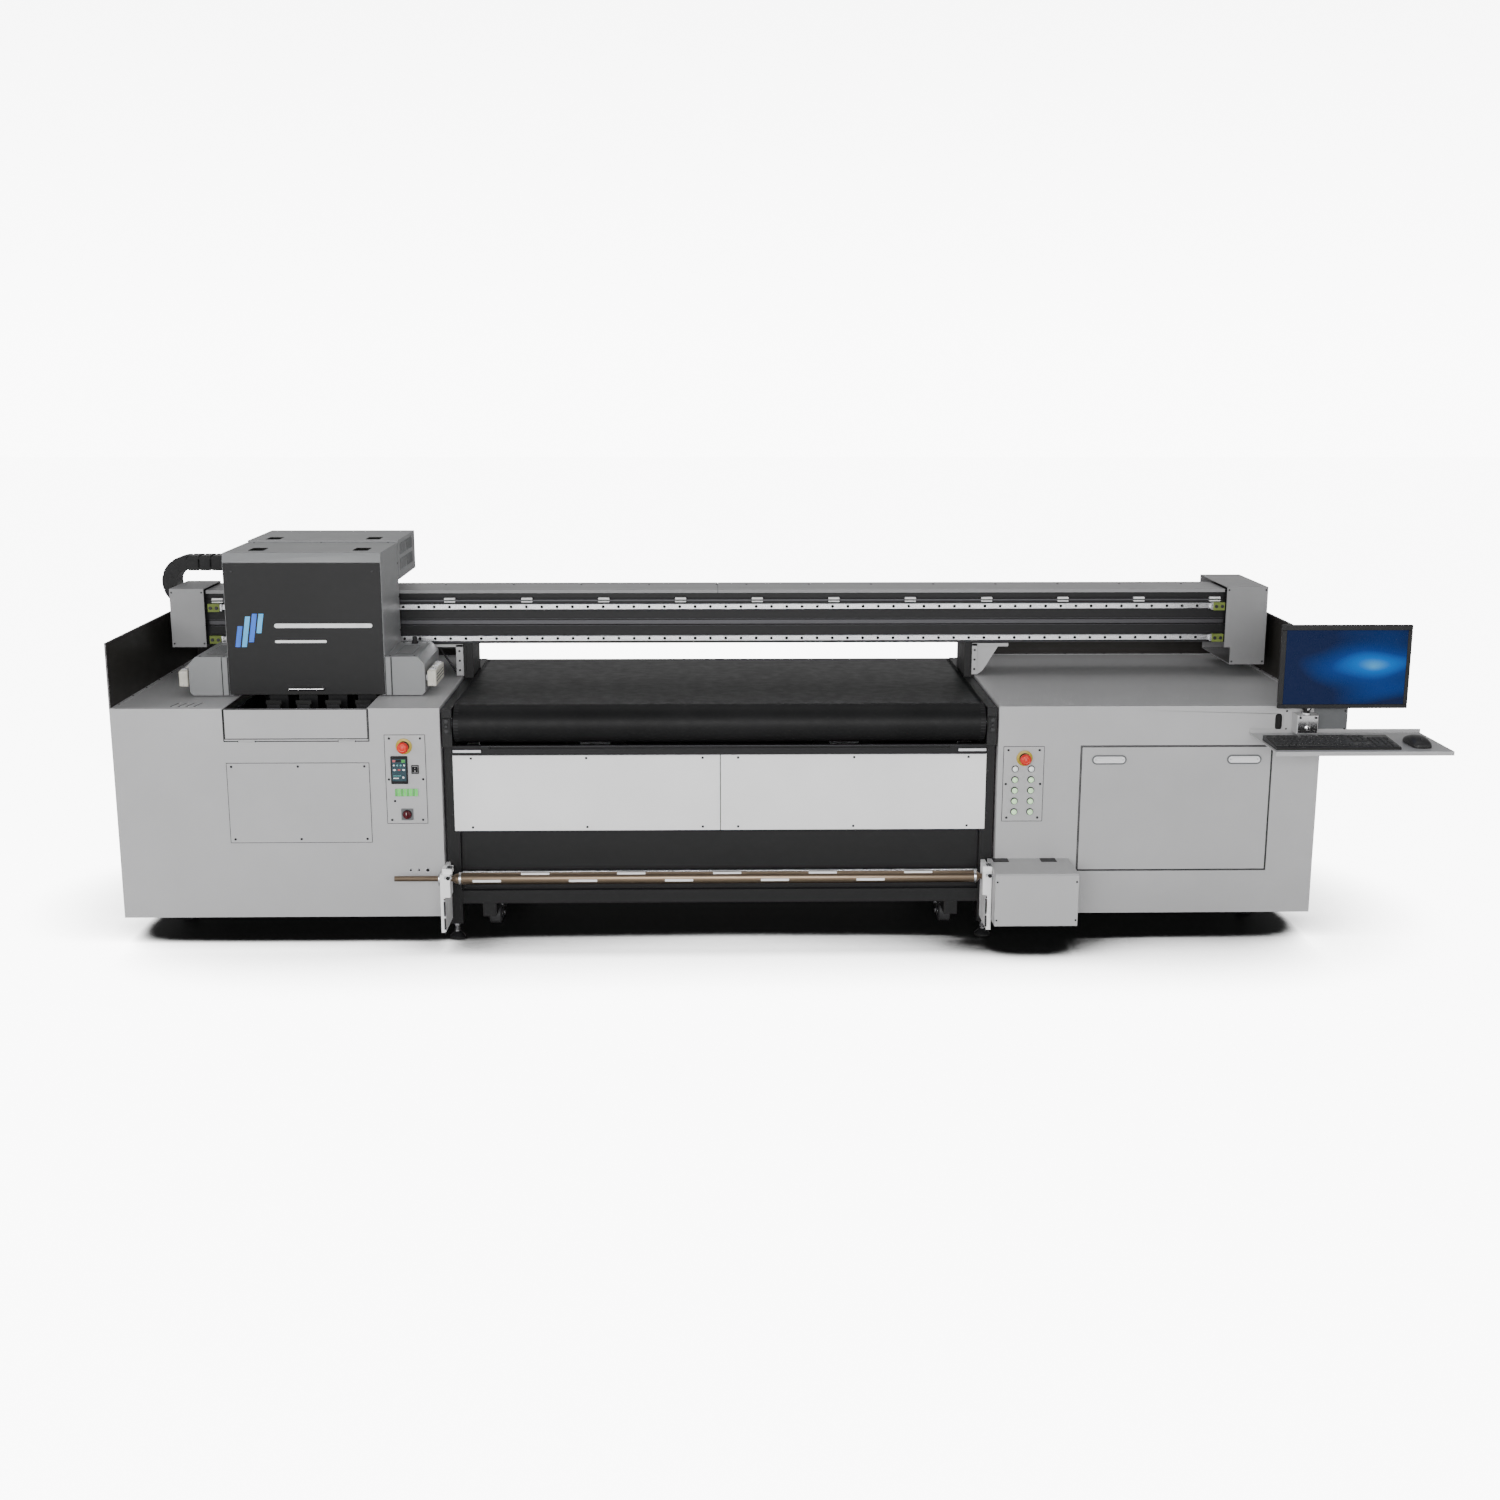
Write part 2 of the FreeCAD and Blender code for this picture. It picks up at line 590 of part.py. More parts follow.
def hinged_covers():
    """Flap over the capping station and the door of the ink bay with its flush handles."""
    node("front_flap", block(-1790, 0, 766, 518, 3, 118))
    panel = block(1318, 0, 266, 701, 3, 470)
    handles = []
    for x in (1358, 1854):
        bezel = fuse([block(x + 17, -2, 669, 92, 2, 34), rod("-y", x + 17, 0, 686, 17, 2),
                      rod("-y", x + 109, 0, 686, 17, 2)])
        handles.append(bezel)
    node("ink_door", fuse([panel, *handles]))


BUTTON_X, BUTTON_Z = 1077, 653        # top left lamp on the right control plate


def button_places():
    for row in range(5):
        for column in range(2):
            yield (row, "%d + %d*button_pitch_x" % (BUTTON_X, column),
                   "%d - %d*button_pitch_z" % (BUTTON_Z, row))


def controls():
    """Stop buttons, switches, display, lamps and push-buttons on the two control plates."""
    fixed = [
        block(-1195, -9.5, 606, 61, 8, 103),
        block(-1184, -6.5, 558, 85, 5, 31),
        rod("-y", -1185, -1.5, 541, 4, 3),
        block(-1160, -9.5, 473, 36, 8, 37),
        cut(block(-1121, -5.5, 643, 27, 4, 32), [block(-1118, -6, 646, 21, 6, 26)]),
    ]
    for name, x, z in (("left", -1145, 745), ("right", 1110, 693)):
        ring = fuse([rod("-y", x, -1.5, z, 29, 3), rod("-y", x, -4.5, z, 16, 8)])
        fixed.append(cut(ring, [rod("-y", x, -1, z, 8.1, 13)]))
        mushroom = [("0", "0"), ("8", "0"), ("8", "18"), ("18", "18"), ("20", "20"),
                    ("20", "29"), ("15", "35"), ("0", "37")]
        node("estop_%s" % name, turned(mushroom, "-y", x, -6, z))
    count = 0
    for row, x, z in button_places():
        ring = cut(rod("-y", x, -1.5, z, 13, 6), [rod("-y", x, -1, z, 10.15, 8)])
        fixed.append(ring)
        if row == 0:
            fixed.append(rod("-y", x, -1.5, z, 10, 8))
            continue
        count += 1
        cap = [("0", "0"), ("10", "0"), ("10", "5"), ("8.5", "6"), ("0", "6")]
        node("push_button_%d" % count, turned(cap, "-y", x, -5, z))
    node("instruments", group(fixed))
    knob = fuse([rod("-y", -1142, -9.8, 491.5, 15, 6), block(-1146, -27.8, 478, 8, 12, 27)])
    node("main_switch", knob)
    rocker = doc.addObject("Part::Box", "block")
    bind(rocker, Length=18, Width=4, Height=21)
    tilt = FreeCAD.Rotation(FreeCAD.Vector(1, 0, 0), 6)
    node("rocker_switch", place(rocker, -1116.5, -7, 648.5, tilt))


def screws():
    """Button-head screws of the cover plates, the white panels and the rear cabinet panels."""
    pieces = []
    inset_x, inset_z, inset_middle = 18, 14, 12
    face = "0 - plate_thickness"
    for x, z, length, height, count in PLATES:
        for i in range(count):
            for row in (inset_z, height - inset_z):
                along = inset_x + i * (length - 2 * inset_x) / (count - 1)
                pieces.append(rod("-y", x + along, face, z + row, 4, 2))
        if count == 2:
            for along in (inset_middle, length - inset_middle):
                pieces.append(rod("-y", x + along, face, z + height / 2, 4, 2))
    for side in (-1, 1):
        for x in (65, 490, 910):
            for z in (431, 691):
                pieces.append(rod("-y", side * x, 33, z, 4.5, 1.5))
    for side in (-1, 1):
        for x in (1040, 1604, 2170):
            for z in (130, 490, 855):
                pieces.append(rod("y", side * x, "cabinet_depth", z, 5, 2))
    node("panel_screws", group(pieces))


def operator_station():
    """Keyboard tray on its wall plate, keyboard and mouse, and the monitor on its arm."""
    wall = block(2052, -5, 782, 234, 5, 95)
    tray = block(1930, -321, 782, 626, 317, 3)
    lips = [block(1930, -324, 770, 626, 3, 15), block(1930, -7, 785, 626, 3, 14)]
    ribs = [pressed([("0", "0"), ("0", "-38"), ("-220", "0")], "3", x, -4, 782)
            for x in (2085, 2150)]
    socket = cut(block(2082, -66, 793, 76, 61, 70), [rod("z", 2120, -46, 806, 12.05, 60)])
    node("keyboard_shelf", fuse([wall, tray, *lips, *ribs, socket]))
    keyboard = pressed([("0", "0"), ("-165", "0"), ("-165", "9"), ("0", "20")], "440",
                       1940, -130, 785.3)
    mouse = pressed([("0", "0"), ("-128", "0"), ("-128", "12"), ("-90", "30"), ("-45", "34"),
                     ("0", "14")], "72", 2426, -150, 785.3)
    node("keyboard_and_mouse", group([keyboard, mouse]))
    post = rod("z", 2120, -46, 806.3, 12, 254)
    link = block(2120, -56, 1037, 80, 16, 20)
    pin = rod("x", 2200, -48, 1047, 5, 58)
    node("monitor_arm", fuse([post, link, pin]))
    screen = block(1996, -100, 894, 468, 38, 302)
    lug = cut(block(2203, -62, 1037, 54, 24, 20), [rod("x", 2202, -48, 1047, 5.05, 56)])
    node("monitor", fuse([screen, lug]))


for build in (base_frame, left_cabinet, right_cabinet, cover_plates, front_panels, media_guides,
              gantry_posts, conveyor, gantry_beam, beam_covers, rails, guard_panels,
              capping_station, ink_tanks, feet_and_casters, media_shafts, drive_box, carriage,
              cable_chain, hinged_covers, controls, screws, operator_station):
    build()

doc.recompute()
for obj in doc.Objects:
    if "Invalid" in obj.State or "Error" in obj.State:
        raise RuntimeError("%s failed: %s" % (obj.Label, obj.State))
os.makedirs("parts", exist_ok=True)
whole = FreeCAD.BoundBox()
for part in nodes:
    if part.Shape.isNull() or not part.Shape.isValid():
        raise RuntimeError("%s has no valid shape" % part.Label)
    whole.add(part.Shape.BoundBox)
    part.Shape.exportStep("parts/%s.step" % part.Label)
print(len(nodes), "sub-parts, box", whole)
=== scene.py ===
import math

import bmesh
import bpy
from mathutils import Matrix, Vector


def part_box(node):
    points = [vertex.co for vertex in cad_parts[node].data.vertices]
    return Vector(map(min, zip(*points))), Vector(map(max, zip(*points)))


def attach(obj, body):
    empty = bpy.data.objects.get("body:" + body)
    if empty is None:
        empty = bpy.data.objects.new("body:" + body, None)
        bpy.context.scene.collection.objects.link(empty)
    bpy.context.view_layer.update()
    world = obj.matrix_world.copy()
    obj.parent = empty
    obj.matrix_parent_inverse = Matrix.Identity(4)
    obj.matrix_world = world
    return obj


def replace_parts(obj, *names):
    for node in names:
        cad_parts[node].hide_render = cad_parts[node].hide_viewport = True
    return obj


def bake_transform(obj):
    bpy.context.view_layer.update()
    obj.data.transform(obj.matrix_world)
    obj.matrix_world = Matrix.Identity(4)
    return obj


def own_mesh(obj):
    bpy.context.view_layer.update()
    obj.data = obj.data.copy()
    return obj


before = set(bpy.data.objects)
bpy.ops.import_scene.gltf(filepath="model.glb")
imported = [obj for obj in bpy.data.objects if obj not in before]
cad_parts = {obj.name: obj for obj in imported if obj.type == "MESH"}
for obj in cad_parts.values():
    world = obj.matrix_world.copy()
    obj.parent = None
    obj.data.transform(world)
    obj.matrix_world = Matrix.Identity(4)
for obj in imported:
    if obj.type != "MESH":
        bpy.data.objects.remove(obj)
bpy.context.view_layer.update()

# ---------------------------------------------------------------------------------------------
# Places: millimetres from the machine's mid-plane (x), the cabinets' front face (y), floor (z)
# ---------------------------------------------------------------------------------------------
MM = 0.001
belt_low, belt_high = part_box("conveyor_belt")
MID_X = (belt_low.x + belt_high.x) / 2
FRONT_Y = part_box("left_cabinet")[0].y


def at(x, y, z):
    """A point of the machine, in metres in the frame."""
    return Vector((MID_X + x * MM, FRONT_Y + y * MM, z * MM))


# Driving places and sizes in those millimetres
BACK_Y = 1150                    # back face of the cabinets
TOP_Z = 885                      # cabinet tops, level with the belt
PLATE_Y = -1.5                   # face of the cover plates on the cabinets
RAIL_Z = (1163, 1038)            # upper and lower rail
RAIL_HALF = 1990                 # half the rails' length
CARRIAGE_LEFT, CARRIAGE_RIGHT = -1822, -1244
HOUSING_TOP, REAR_BOX_TOP = 1419, 1425
HEAD_X = [-1690 + 110 * i for i in range(4)]
HEAD_Y = (290, 430)
TANK_X = [1345 + 165 * i for i in range(4)]
ROLLER_Y = (70, 1047)            # front and rear roller axes
ROLLER_Z = 815
BELT_RADIUS = 70
TAKEUP_Y, FEED_Y, SHAFT_Z = -105, 1255, 277
FOOT_TOPS = ([(x, y, 60) for x in (-983, 983) for y in (61, 1075)]
             + [(x, y, 101) for x in (-2050, 2050) for y in (325, 875)])
CASTERS = [(-858, 225), (858, 225), (-858, 925), (858, 925)]
WHEEL_Z = 42
TRAY_TOP = 785.2
# Cover plates: left edge, lower edge, length, height, screws along each long edge
COVER_PLATES = ((-1789, 385, 516, 300, 3), (-1216, 456, 148, 332, 2), (1032.5, 455, 150, 282, 2))


# ---------------------------------------------------------------------------------------------
# Materials
# ---------------------------------------------------------------------------------------------
class Shader:
    """A node material that starts from object coordinates in metres and one Principled shader."""

    def __init__(self, name):
        self.material = bpy.data.materials.new(name)
        self.material.use_nodes = True
        self.tree = self.material.node_tree
        self.surface = self.tree.nodes["Principled BSDF"]
        self.place = self.tree.nodes.new("ShaderNodeTexCoord").outputs["Object"]

    def set(self, **values):
        for name, value in values.items():
            self.surface.inputs[name.replace("_", " ")].default_value = value
        return self

    def node(self, kind, inputs=(), **settings):
        made = self.tree.nodes.new("ShaderNode" + kind)
        for name, value in settings.items():
            setattr(made, name, value)
        for name, value in dict(inputs).items():
            if isinstance(value, bpy.types.NodeSocket):
                self.tree.links.new(value, made.inputs[name])
            else:
                made.inputs[name].default_value = value
        return made

    def scaled(self, scale):
        """Object coordinates times a vector scale."""
        return self.node("Mapping", {"Vector": self.place, "Scale": scale}).outputs[0]

    def noise(self, scale, detail=2.0, rough=0.5, stretch=(1, 1, 1)):
        return self.node("TexNoise", {"Vector": self.scaled(stretch), "Scale": scale,
                                      "Detail": detail, "Roughness": rough}).outputs["Fac"]

    def ramp(self, fac, low, high, start=0.0, end=1.0):
        """Colours or greys between two values of fac."""
        made = self.node("ValToRGB", {"Fac": fac})
        for element, place, value in zip(made.color_ramp.elements, (start, end), (low, high)):
            element.position = place
            element.color = (*value, 1) if isinstance(value, tuple) else (value,) * 3 + (1,)
        return made.outputs["Color"]

    def colour(self, socket):
        self.tree.links.new(socket, self.surface.inputs["Base Color"])
        return self

    def roughness(self, fac, low, high):
        made = self.node("MapRange", {"Value": fac, "To Min": low, "To Max": high})
        self.tree.links.new(made.outputs[0], self.surface.inputs["Roughness"])
        return self

    def bump(self, height, strength, distance):
        made = self.node("Bump", {"Height": height, "Strength": strength, "Distance": distance})
        self.tree.links.new(made.outputs[0], self.surface.inputs["Normal"])
        return self


def shade(colour, factor):
    """A colour made darker or paler by a factor."""
    return tuple(min(1.0, part * factor) for part in colour)


def sheen_level(colour, pale, dark):
    """Dark coats are matt, so that they stay dark at a low angle."""
    return pale if max(colour) > 0.2 else dark


def powder_coat(name, colour, rough=0.42, texture=0.25):
    """Baked paint: fine orange peel, faint cloudy tone and dust, a soft clear highlight."""
    s = Shader(name).set(Specular_IOR_Level=sheen_level(colour, 0.42, 0.2))
    cloud = s.noise(2.2, 4, 0.6)
    s.colour(s.ramp(cloud, shade(colour, 0.95), shade(colour, 1.04), 0.3, 0.7))
    s.roughness(s.noise(9, 5, 0.6), rough - 0.05, rough + 0.07)
    s.bump(s.noise(1500, 2, 0.5), texture, 0.00012)
    return s.material


def brushed(name, colour, rough=0.28, along="x", metallic=1.0):
    """Metal with grinding lines along one axis."""
    stretch = {"x": (1, 60, 60), "y": (60, 1, 60), "z": (60, 60, 1)}[along]
    s = Shader(name).set(Metallic=metallic)
    lines = s.noise(24, 3, 0.6, stretch)
    s.colour(s.ramp(lines, shade(colour, 0.86), shade(colour, 1.08), 0.25, 0.75))
    s.roughness(lines, rough - 0.08, rough + 0.12)
    s.bump(lines, 0.12, 0.0001)
    return s.material


def plastic(name, colour, rough=0.4, grain=0.3, grain_scale=2600.0):
    """Moulded plastic with a fine spark-eroded grain."""
    s = Shader(name).set(Specular_IOR_Level=sheen_level(colour, 0.5, 0.2))
    s.colour(s.ramp(s.noise(14, 3), shade(colour, 0.9), shade(colour, 1.1), 0.3, 0.7))
    s.roughness(s.noise(40, 3), rough - 0.06, rough + 0.08)
    s.bump(s.noise(grain_scale, 2, 0.5), grain, 0.0001)
    return s.material


def rubber(name, colour, rough=0.6):
    """Matt rubber with a cloudy tone and a soft uneven surface."""
    s = Shader(name).set(Specular_IOR_Level=0.14)
    s.colour(s.ramp(s.noise(5, 5, 0.6), shade(colour, 0.8), shade(colour, 1.25), 0.3, 0.7))
    s.roughness(s.noise(30, 4), rough - 0.08, rough + 0.1)
    s.bump(s.noise(900, 3), 0.3, 0.0002)
    return s.material


def glowing(name, colour, strength):
    """A lens or screen tile lit faintly from inside."""
    s = Shader(name).set(Roughness=0.25)
    tone = s.ramp(s.noise(60, 2), shade(colour, 0.85), shade(colour, 1.0), 0.3, 0.7)
    s.colour(tone)
    s.tree.links.new(tone, s.surface.inputs["Emission Color"])
    return s.set(Emission_Strength=strength).material


GREY = powder_coat("cabinet_grey", (0.45, 0.45, 0.455))
MID_GREY = powder_coat("carriage_grey", (0.235, 0.24, 0.245), 0.38)
COVER_GREY = powder_coat("beam_cover_grey", (0.26, 0.26, 0.265), 0.36)
DARK = powder_coat("dark_grey_coat", (0.016, 0.016, 0.0165), 0.45)
GUARD = powder_coat("guard_dark_coat", (0.022, 0.020, 0.018), 0.42)
WHITE = powder_coat("white_coat", (0.95, 0.95, 0.95), 0.35, 0.15)
BLACK = powder_coat("door_black_coat", (0.019, 0.019, 0.0195), 0.5)
STEEL = brushed("ground_steel", (0.72, 0.72, 0.74), 0.25)
ALUMINIUM = brushed("anodised_aluminium", (0.62, 0.62, 0.64), 0.35)
BEAM = powder_coat("beam_anodised", (0.014, 0.014, 0.0148), 0.36)
CHROME = brushed("polished_chrome", (0.85, 0.85, 0.86), 0.12)
BLACK_PLASTIC = plastic("black_plastic", (0.010, 0.010, 0.011))
OLIVE = plastic("olive_urethane", (0.155, 0.2, 0.045), 0.42)
CREAM = plastic("cream_plastic", (0.66, 0.64, 0.56), 0.4)
RED = plastic("red_plastic", (0.62, 0.012, 0.004), 0.28, 0.1)
YELLOW = plastic("yellow_plastic", (0.42, 0.31, 0.025), 0.35, 0.1)
LENS = glowing("green_white_lens", (0.62, 0.92, 0.55), 0.35)
PILOT = glowing("white_lens", (0.85, 0.9, 0.88), 0.3)
TANK = plastic("tank_polyethylene", (0.7, 0.7, 0.66), 0.45)
NYLON = plastic("nylon_wheel", (0.05, 0.05, 0.052), 0.45)
BRONZE = brushed("bronze_anodised", (0.23, 0.175, 0.125), 0.34)
BELT = rubber("belt_rubber", (0.0095, 0.0095, 0.0098), 0.46)

# Near-black for the insides of the rail bolt holes and the pull cups: painted shade in these
# recesses.
RECESS_SHADE_BLACK = rubber("recess_shade_black", (0.008, 0.008, 0.008), 0.8)
DARK_STEEL = brushed("blackened_steel", (0.05, 0.05, 0.052), 0.42)
BEAM_EDGE = brushed("beam_edge_metal", (0.075, 0.075, 0.08), 0.42)
GREY_GLOSS = powder_coat("handle_grey", (0.8, 0.8, 0.81), 0.25, 0.1)
SHELF_DARK = powder_coat("shelf_dark_grey", (0.14, 0.145, 0.15), 0.45)
CHAIN = plastic("chain_polyamide", (0.013, 0.013, 0.0135), 0.42)
HOSE = rubber("black_hose", (0.018, 0.018, 0.019), 0.5)
RUBBER = rubber("seal_rubber", (0.02, 0.02, 0.02), 0.65)
BELT_EDGE = rubber("belt_edge", (0.022, 0.022, 0.023), 0.5)
LAMP_GLASS = plastic("lamp_glass", (0.05, 0.02, 0.09), 0.08, 0.02)
BEZEL = plastic("monitor_bezel", (0.022, 0.022, 0.023), 0.38, 0.2)
KEYBOARD = plastic("keyboard_case", (0.022, 0.022, 0.0225), 0.4)
KEYCAP = plastic("key_caps", (0.042, 0.042, 0.043), 0.5, 0.4)
MOUSE = plastic("mouse_shell", (0.03, 0.03, 0.031), 0.36, 0.2)
MAROON = plastic("maroon_plastic", (0.075, 0.006, 0.010), 0.35, 0.1)
RED_LIGHT = plastic("light_red_plastic", (0.75, 0.06, 0.015), 0.3, 0.1)
TILE_BLUE = plastic("pattern_blue", (0.03, 0.16, 0.72), 0.3, 0.1)
TILE_CYAN = plastic("pattern_cyan", (0.08, 0.45, 0.85), 0.3, 0.1)
TILE_WHITE = plastic("pattern_white", (0.85, 0.85, 0.85), 0.35, 0.1)
TILE_RED = glowing("tile_red", (0.45, 0.08, 0.09), 0.25)
TILE_GREEN = glowing("tile_green", (0.05, 0.3, 0.06), 0.25)
TILE_TEAL = glowing("tile_teal", (0.12, 0.42, 0.4), 0.25)
SCREEN_TEAL = glowing("controller_glass", (0.01, 0.04, 0.055), 0.2)
BAR_GREEN = glowing("display_green", (0.12, 0.62, 0.12), 0.3)
BAR_DIM = glowing("display_green_dim", (0.09, 0.42, 0.09), 0.25)
INK_CYAN = plastic("ink_cyan", (0.02, 0.35, 0.6), 0.35)
INK_MAGENTA = plastic("ink_magenta", (0.6, 0.02, 0.2), 0.35)
INK_YELLOW = plastic("ink_yellow", (0.75, 0.6, 0.02), 0.35)
INK_BLACK = plastic("ink_black", (0.02, 0.02, 0.02), 0.35)


def lit_screen():
    """A plain abstract blue picture: a soft glow to the right over dark blue, with wide waves."""
    s = Shader("monitor_picture").set(Roughness=0.16)
    low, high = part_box("monitor")
    centre = Vector(((low.x * 0.28 + high.x * 0.72), (low.y + high.y) / 2,
                     (low.z + high.z) / 2))
    shifted = s.node("Mapping", {"Vector": s.place, "Location": -centre})
    stretched = s.node("Mapping", {"Vector": shifted.outputs[0], "Scale": (3.6, 0.0, 6.6)})
    distance = s.node("VectorMath", {0: stretched.outputs[0]}, operation="LENGTH")
    waves = s.node("TexWave", {"Vector": s.place, "Scale": 2.4, "Distortion": 5.0, "Detail": 1.0},
                   bands_direction="Z")
    softened = s.node("Math", {0: waves.outputs["Fac"], 1: 0.22}, operation="MULTIPLY")
    reach = s.node("Math", {0: distance.outputs["Value"], 1: softened.outputs[0]},
                   operation="ADD")
    glow = s.node("ValToRGB", {"Fac": reach.outputs[0]})
    stops = glow.color_ramp.elements
    stops[0].position, stops[0].color = 0.0, (0.12, 0.55, 1.0, 1)
    stops[1].position, stops[1].color = 1.0, (0.0, 0.012, 0.075, 1)
    for place, colour in ((0.22, (0.0, 0.2, 0.8, 1)), (0.55, (0.0, 0.05, 0.28, 1))):
        stops.new(place).color = colour
    s.colour(s.ramp(s.noise(40), 0.003, 0.006))
    s.tree.links.new(glow.outputs["Color"], s.surface.inputs["Emission Color"])
    return s.set(Emission_Strength=0.8, Specular_IOR_Level=0.15).material


SCREEN = lit_screen()

NODE_MATERIALS = {
    "base_frame": DARK, "left_cabinet": GREY, "right_cabinet": GREY, "cover_plates": GREY,
    "front_panels": WHITE, "media_guides": BEAM, "gantry_posts": DARK, "conveyor_belt": BELT,
    "vacuum_bed": ALUMINIUM, "front_roller": STEEL, "rear_roller": STEEL, "gantry_beam": BEAM,
    "beam_covers": COVER_GREY, "linear_rails": STEEL, "rail_bumpers": OLIVE,
    "encoder_strip": ALUMINIUM, "guard_panels": GUARD, "capping_station": BLACK_PLASTIC,
    "ink_tanks": TANK, "levelling_feet": BLACK_PLASTIC, "caster_forks": DARK,
    "shaft_brackets": WHITE, "takeup_shaft": BRONZE, "feed_shaft": BRONZE, "drive_box": GREY,
    "carriage_plate": ALUMINIUM, "carriage_rear_box": MID_GREY, "carriage_housing": MID_GREY,
    "print_heads": DARK_STEEL, "uv_lamps": MID_GREY, "ion_bars": CREAM, "carriage_door": BLACK,
    "cable_chain_upper": BLACK_PLASTIC, "cable_chain_lower": BLACK_PLASTIC,
    "cable_chain_loop": BLACK_PLASTIC, "chain_tray": DARK, "front_flap": GREY,
    "ink_door": GREY, "estop_left": RED, "estop_right": RED, "instruments": BLACK_PLASTIC,
    "main_switch": RED, "rocker_switch": BLACK_PLASTIC, "panel_screws": STEEL,
    "keyboard_shelf": GREY, "keyboard_and_mouse": BLACK_PLASTIC, "monitor_arm": BLACK,
    "monitor": BLACK_PLASTIC,
}
for number in range(1, 5):
    NODE_MATERIALS["caster_wheel_%d" % number] = NYLON
for number in range(1, 9):
    NODE_MATERIALS["push_button_%d" % number] = LENS

EDGE_RADIUS = 0.0008
SHARP_NODES = ("conveyor_belt", "panel_screws", "encoder_strip")


def finish_node(name, obj):
    """Material, welded corners and a small edge radius on a CAD node."""
    obj.data.materials.clear()
    obj.data.materials.append(NODE_MATERIALS[name])
    if name not in SHARP_NODES:
        weld = obj.modifiers.new("weld", "WELD")
        weld.merge_threshold = 0.00001
        bevel = obj.modifiers.new("bevel", "BEVEL")
        bevel.width = EDGE_RADIUS
        bevel.segments = 2
        bevel.limit_method = "ANGLE"
        bevel.angle_limit = math.radians(40)
        bevel.harden_normals = True


for name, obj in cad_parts.items():
    finish_node(name, obj)


# ---------------------------------------------------------------------------------------------
# Mesh pieces, built in machine millimetres
# ---------------------------------------------------------------------------------------------
AXES = {"x": Vector((1, 0, 0)), "y": Vector((0, 1, 0)), "z": Vector((0, 0, 1))}


def across(axis):
    """Two directions square to an axis."""
    return {"x": (AXES["y"], AXES["z"]), "y": (AXES["x"], AXES["z"]),
            "z": (AXES["x"], AXES["y"])}[axis]


